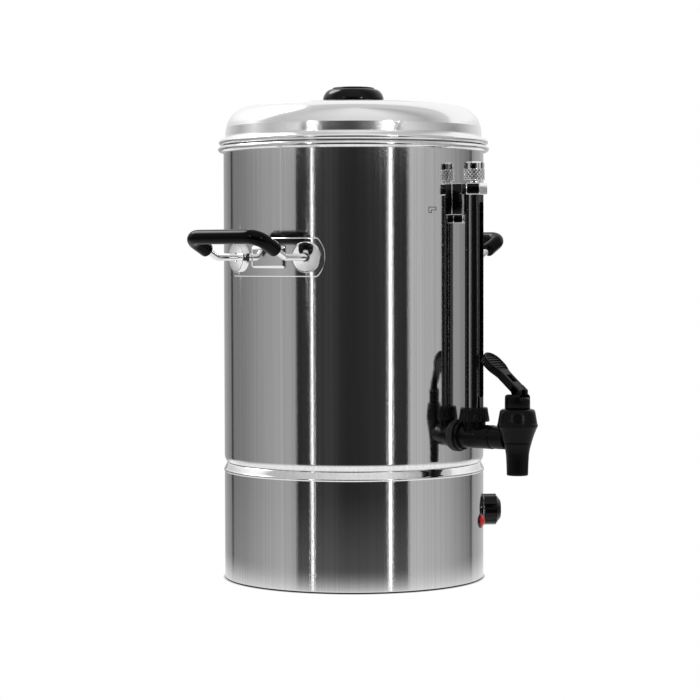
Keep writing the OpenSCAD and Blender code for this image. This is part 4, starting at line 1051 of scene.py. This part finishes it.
# %%
LAMP_AZIMUTH, LAMP_Z = 24.0, 52.2
lamp_place = outward(LAMP_AZIMUTH, LAMP_Z)
lamp_rim = [(4.0, 112.6, 0), (6.4, 112.6, 0), (6.4, 116.1, 0.5), (5.2, 116.1, 0), (4.0, 115.6, 0)]
bm = bmesh.new()
lathe(bm, fillet(lamp_rim), 64, lamp_place)
finish_piece("lamp_rim", bm, "lamp_black", "urn", ["lamp_bezel"], sharp=40)
bm = bmesh.new()
lathe(bm, [(0, 114.2), (5.6, 114.2)] + arc((0, 111.8), 7.0, 36.87, 90, 14), 64, lamp_place)
finish_piece("lamp_dome", bm, "lamp_red", "urn", ["lamp_lens"], sharp=40)
print("lamp made")

# %% [markdown]
# A thin painted mark on the body shows the full level beside the gauge.

# %%
MARK_R = 0.3
MARK_STEPS = 8
# Corners as (azimuth, height)
MARK = [(-17.4, 326.1), (-13.6, 326.1), (-13.6, 323.7), (-16.1, 323.7), (-16.1, 321.4), (-17.4, 321.4)]
mark_path = []
for (a0, z0), (a1, z1) in zip(MARK, MARK[1:] + MARK[:1]):
    for k in range(MARK_STEPS):
        a = math.radians(a0 + (a1 - a0) * k / MARK_STEPS)
        mark_path.append((BODY_R * math.sin(a), -BODY_R * math.cos(a), z0 + (z1 - z0) * k / MARK_STEPS))
mark_path.append(mark_path[0])
bm = bmesh.new()
sweep(bm, mark_path, [MARK_R] * len(mark_path), 12)
finish_piece("level_mark", bm, "lamp_black", "urn", [], sharp=60)
print("mark made")

# %% [markdown]
# ## Tap
# The cup narrows to the spout in one smooth line. Its arm leads back to the gauge's tee.

# %%
CUP_TOP = 156.0
BONNET_TOP = 166.0
BONNET_R = 10.7
CHEEK_FROM, CHEEK_RISE, CHEEK_ROUND = 6.85, 2.6, 2.4
PIN_Z = 169.9
SPOUT = Matrix.Translation((0, -SPOUT_R * MM, 0))

cup_side = [
    (8.2, 100.0), (8.75, 100.15), (9.05, 100.7), (9.1, 103.0), (9.3, 109.5), (9.75, 117.6), (10.2, 120.6),
    (10.8, 123.4), (11.6, 126.4), (12.5, 129.4), (13.6, 132.8), (14.7, 135.8), (15.7, 138.4), (16.4, 140.0),
    (17.0, 141.2), (17.2, 142.0), (17.15, 142.8), (16.8, 143.3), (16.5, 145.0), (15.9, 148.6), (15.3, 152.0),
    (15.0, 153.6), (14.5, 154.8), (13.6, 155.6), (12.4, 156.0),
]
cup_bore = [
    (9.0, CUP_TOP), (9.0, 151.0), (12.0, 150.5), (12.0, 127.0), (6.5, 127.0), (6.5, 100.2), (6.9, 100.0),
]
bm = bmesh.new()
lathe(bm, cup_side + cup_bore, 128, SPOUT)
arm = outward(0, ARM_Z)
lathe(bm, fillet([(4.5, 152.15, 0), (9.8, 152.15, 0.5), (9.8, 166.5, 0), (4.5, 166.5, 0)]), 96, arm)
lathe(bm, [(4.5, 144.2), (6.6, 144.2), (7.0, 144.6), (7.0, 152.4), (4.5, 152.4)], 64, arm)
finish_piece("tap_cup", bm, "tap_black", "urn", ["tap_body"], sharp=40)
print("tap cup made")

# %% [markdown]
# Two cheeks of the bonnet stand beside the lever's heel.


# %%
def cheek_height(x, r):
    """The bonnet's top: flat in the middle, with a rounded cheek on each side."""
    rise = CHEEK_RISE * smooth_step((abs(x) - CHEEK_FROM) / 0.5)
    beyond = max(r - (BONNET_R - CHEEK_ROUND), 0.0)
    return BONNET_TOP + rise - (CHEEK_ROUND - math.sqrt(max(CHEEK_ROUND**2 - beyond**2, 0.0)))


def bonnet_cap(bm, columns=144):
    """Rings run from the stem's hole over the top, down the outside and back up the spring's room."""
    top_radii = [2.6, 4.5, 6.0, 6.6, 6.9, 7.1, 7.3, 7.6, 8.0, 8.3, 8.7, 9.1, 9.5, 9.9, 10.2, 10.45, 10.6]
    outside = [(BONNET_R, 163.0), (BONNET_R, 156.4), (10.4, CUP_TOP)]
    inside = [(8.5, CUP_TOP), (8.5, 152.0), (6.5, 152.0), (6.5, 163.0)]
    angles = turns(columns)
    rings = [[(2.6, 163.0)] * columns]
    for r in top_radii + [BONNET_R]:
        rings.append([(r, cheek_height(r * math.cos(a), r)) for a in angles])
    rim = rings[-1]
    for r, z in outside + inside:
        rings.append([(r, min(z, top - 0.05)) for _, top in rim])
    made = []
    for ring in rings:
        points = [(r * math.cos(a), r * math.sin(a), z) for a, (r, z) in zip(angles, ring)]
        made.append([bm.verts.new(SPOUT @ (Vector(point) * MM)) for point in points])
    bridge(bm, made + made[:1])


bm = bmesh.new()
bonnet_cap(bm)
finish_piece("bonnet_cap", bm, "tap_black", "urn", ["tap_bonnet"], sharp=50)
print("bonnet made")

# %% [markdown]
# The valve's spring is shortened by the stem's collar as the stem rises.

# %%
SPRING_TURNS = 6
SPRING_STEPS = 24
SPRING_R, WIRE_R = 4.3, 0.5
(_, _, spring_low), (_, _, spring_high) = (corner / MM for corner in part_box("tap_spring"))
spring_path = []
for i in range(SPRING_TURNS * SPRING_STEPS + 1):
    a = 2 * math.pi * i / SPRING_STEPS
    z = spring_low + WIRE_R + (spring_high - spring_low - 2 * WIRE_R) * i / (SPRING_TURNS * SPRING_STEPS)
    spring_path.append((SPRING_R * math.cos(a), SPRING_R * math.sin(a) - SPOUT_R, z))
bm = bmesh.new()
sweep(bm, spring_path, [WIRE_R] * len(spring_path), 12)
spring = finish_piece("valve_spring", bm, "spring_steel", "urn", ["tap_spring"], sharp=60)
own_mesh(spring)

# %% [markdown]
# The lever has a ribbed thumb dish, a pocket and a round heel with a slot for the stem's tongue.

# %%
LEVER_FACE = 5.5
LEVER_LOW = -1.0
LEVER_TILT = 40.0
LEVER_NECK = 6.5
PADDLE_R, PADDLE_MID = 10.0, 35.5
LEVER_SOFT = 0.9
DISH_FROM, DISH_DEPTH = 21.5, 1.5
RIB_FROM, RIB_PITCH, RIB_RISE = 24.2, 3.0, 0.95
POCKET = (7.5, 16.5, 3.4)
POCKET_DEPTH = 2.0
HEEL_R, HEEL_OFF, HEEL_START = 5.0, 3.0, 60.0
HEEL_FRONT = -6.2
TONGUE_HALF = 2.7
LEVER = (
    Matrix.Translation((0, -SPOUT_R * MM, PIN_Z * MM))
    @ Matrix.Rotation(math.radians(LEVER_TILT), 4, "X")
    @ Matrix.Scale(MM, 4)
)


def lever_half(along):
    """Half the lever's width: a neck that widens to a round paddle."""
    if along > PADDLE_MID:
        return math.sqrt(max(PADDLE_R**2 - (along - PADDLE_MID) ** 2, 0.0))
    return LEVER_NECK + (PADDLE_R - LEVER_NECK) * smooth_step((along - 18.5) / 12.0)


def lever_top(along, across):
    half = lever_half(along)
    edge = half - abs(across)
    if along > PADDLE_MID:
        edge = PADDLE_R - math.hypot(along - PADDLE_MID, across)
    edge = max(edge, 0.0)
    soft = LEVER_SOFT - math.sqrt(max(LEVER_SOFT**2 - max(LEVER_SOFT - edge, 0.0) ** 2, 0.0))
    in_dish = min(edge, along - DISH_FROM)
    rib = 0.5 + 0.5 * math.cos(2 * math.pi * (along - RIB_FROM) / RIB_PITCH)
    dish = DISH_DEPTH * smooth_step((in_dish - 1.5) / 0.8)
    dish -= RIB_RISE * smooth_step((rib - 0.35) / 0.5) * smooth_step((in_dish - 1.9) / 0.6)
    low, high, half_pocket = POCKET
    in_pocket = min(along - low, high - along, half_pocket - abs(across))
    return LEVER_FACE - soft - dish - POCKET_DEPTH * smooth_step(in_pocket / 0.35)


def lever_bar(bm):
    stations = [-2.5 + 48.0 * i / 192 for i in range(192)] + [45.2, 45.35, 45.44, 45.48]
    lanes = [-1.0 + 2.0 * i / 48 for i in range(49)]
    top, low = [], []
    for along in stations:
        across = [lane * lever_half(along) for lane in lanes]
        top.append([bm.verts.new(LEVER @ Vector((x, along, lever_top(along, x)))) for x in across])
        low.append([bm.verts.new(LEVER @ Vector((x, along, LEVER_LOW))) for x in across])
    slab(bm, top, low)


print("lever functions ready")

# %% [markdown]
# The heel has two cheeks, one on each side of the stem's tongue.


# %%
def heel_cheek(bm, from_x, to_x):
    """One side of the heel: a disc about an offset middle, cut by the lever's face and its blunt front."""
    turn = math.radians(HEEL_START - LEVER_TILT)
    mid = (-HEEL_OFF * math.sin(turn), HEEL_OFF * math.cos(turn))
    tilt = math.radians(LEVER_TILT)
    ring = []
    for a in turns(96):
        along, up = mid[0] + HEEL_R * math.cos(a), min(mid[1] + HEEL_R * math.sin(a), LEVER_FACE)
        short = HEEL_FRONT - (along * math.cos(tilt) - up * math.sin(tilt))
        if short > 0:
            along += short * math.cos(tilt)
            up -= short * math.sin(tilt)
        ring.append((along, up))
    sides = [[bm.verts.new(LEVER @ Vector((x, along, up))) for along, up in ring] for x in (from_x, to_x)]
    bridge(bm, sides)
    close_ends(bm, sides)


bm = bmesh.new()
lever_bar(bm)
heel_cheek(bm, -LEVER_NECK, -TONGUE_HALF)
heel_cheek(bm, TONGUE_HALF, LEVER_NECK)
finish_piece("lever_arm", bm, "tap_black", "lever", ["tap_lever"], sharp=40)
print("lever made")

# %% [markdown]
# The gauge's lower nut narrows upward and has fine ribs.

# %%
NUT_RIBS = 36
# Each ring is a radius, a height and the depth of its ribs.
NUT_RINGS = [
    (9.2, 143.7, 0), (12.9, 143.7, 0), (13.2, 144.0, 0), (12.95, 146.6, 0.35), (12.2, 150.6, 0.35),
    (11.75, 154.0, 0.2), (11.5, 155.2, 0), (11.1, 155.7, 0), (8.2, 155.7, 0), (8.2, 153.7, 0),
    (9.2, 153.7, 0),
]


def ribbed_nut(bm, columns=288):
    ribs = [0.5 + 0.5 * math.cos(NUT_RIBS * a) for a in turns(columns)]
    rings = [gauge_ring(bm, [r - depth * rib for rib in ribs], z) for r, z, depth in NUT_RINGS]
    bridge(bm, rings + rings[:1])


bm = bmesh.new()
ribbed_nut(bm)
finish_piece("ribbed_nut", bm, "tap_black", "urn", ["gauge_nut"], sharp=40)
print("nut made")

# %%
bpy.context.view_layer.update()
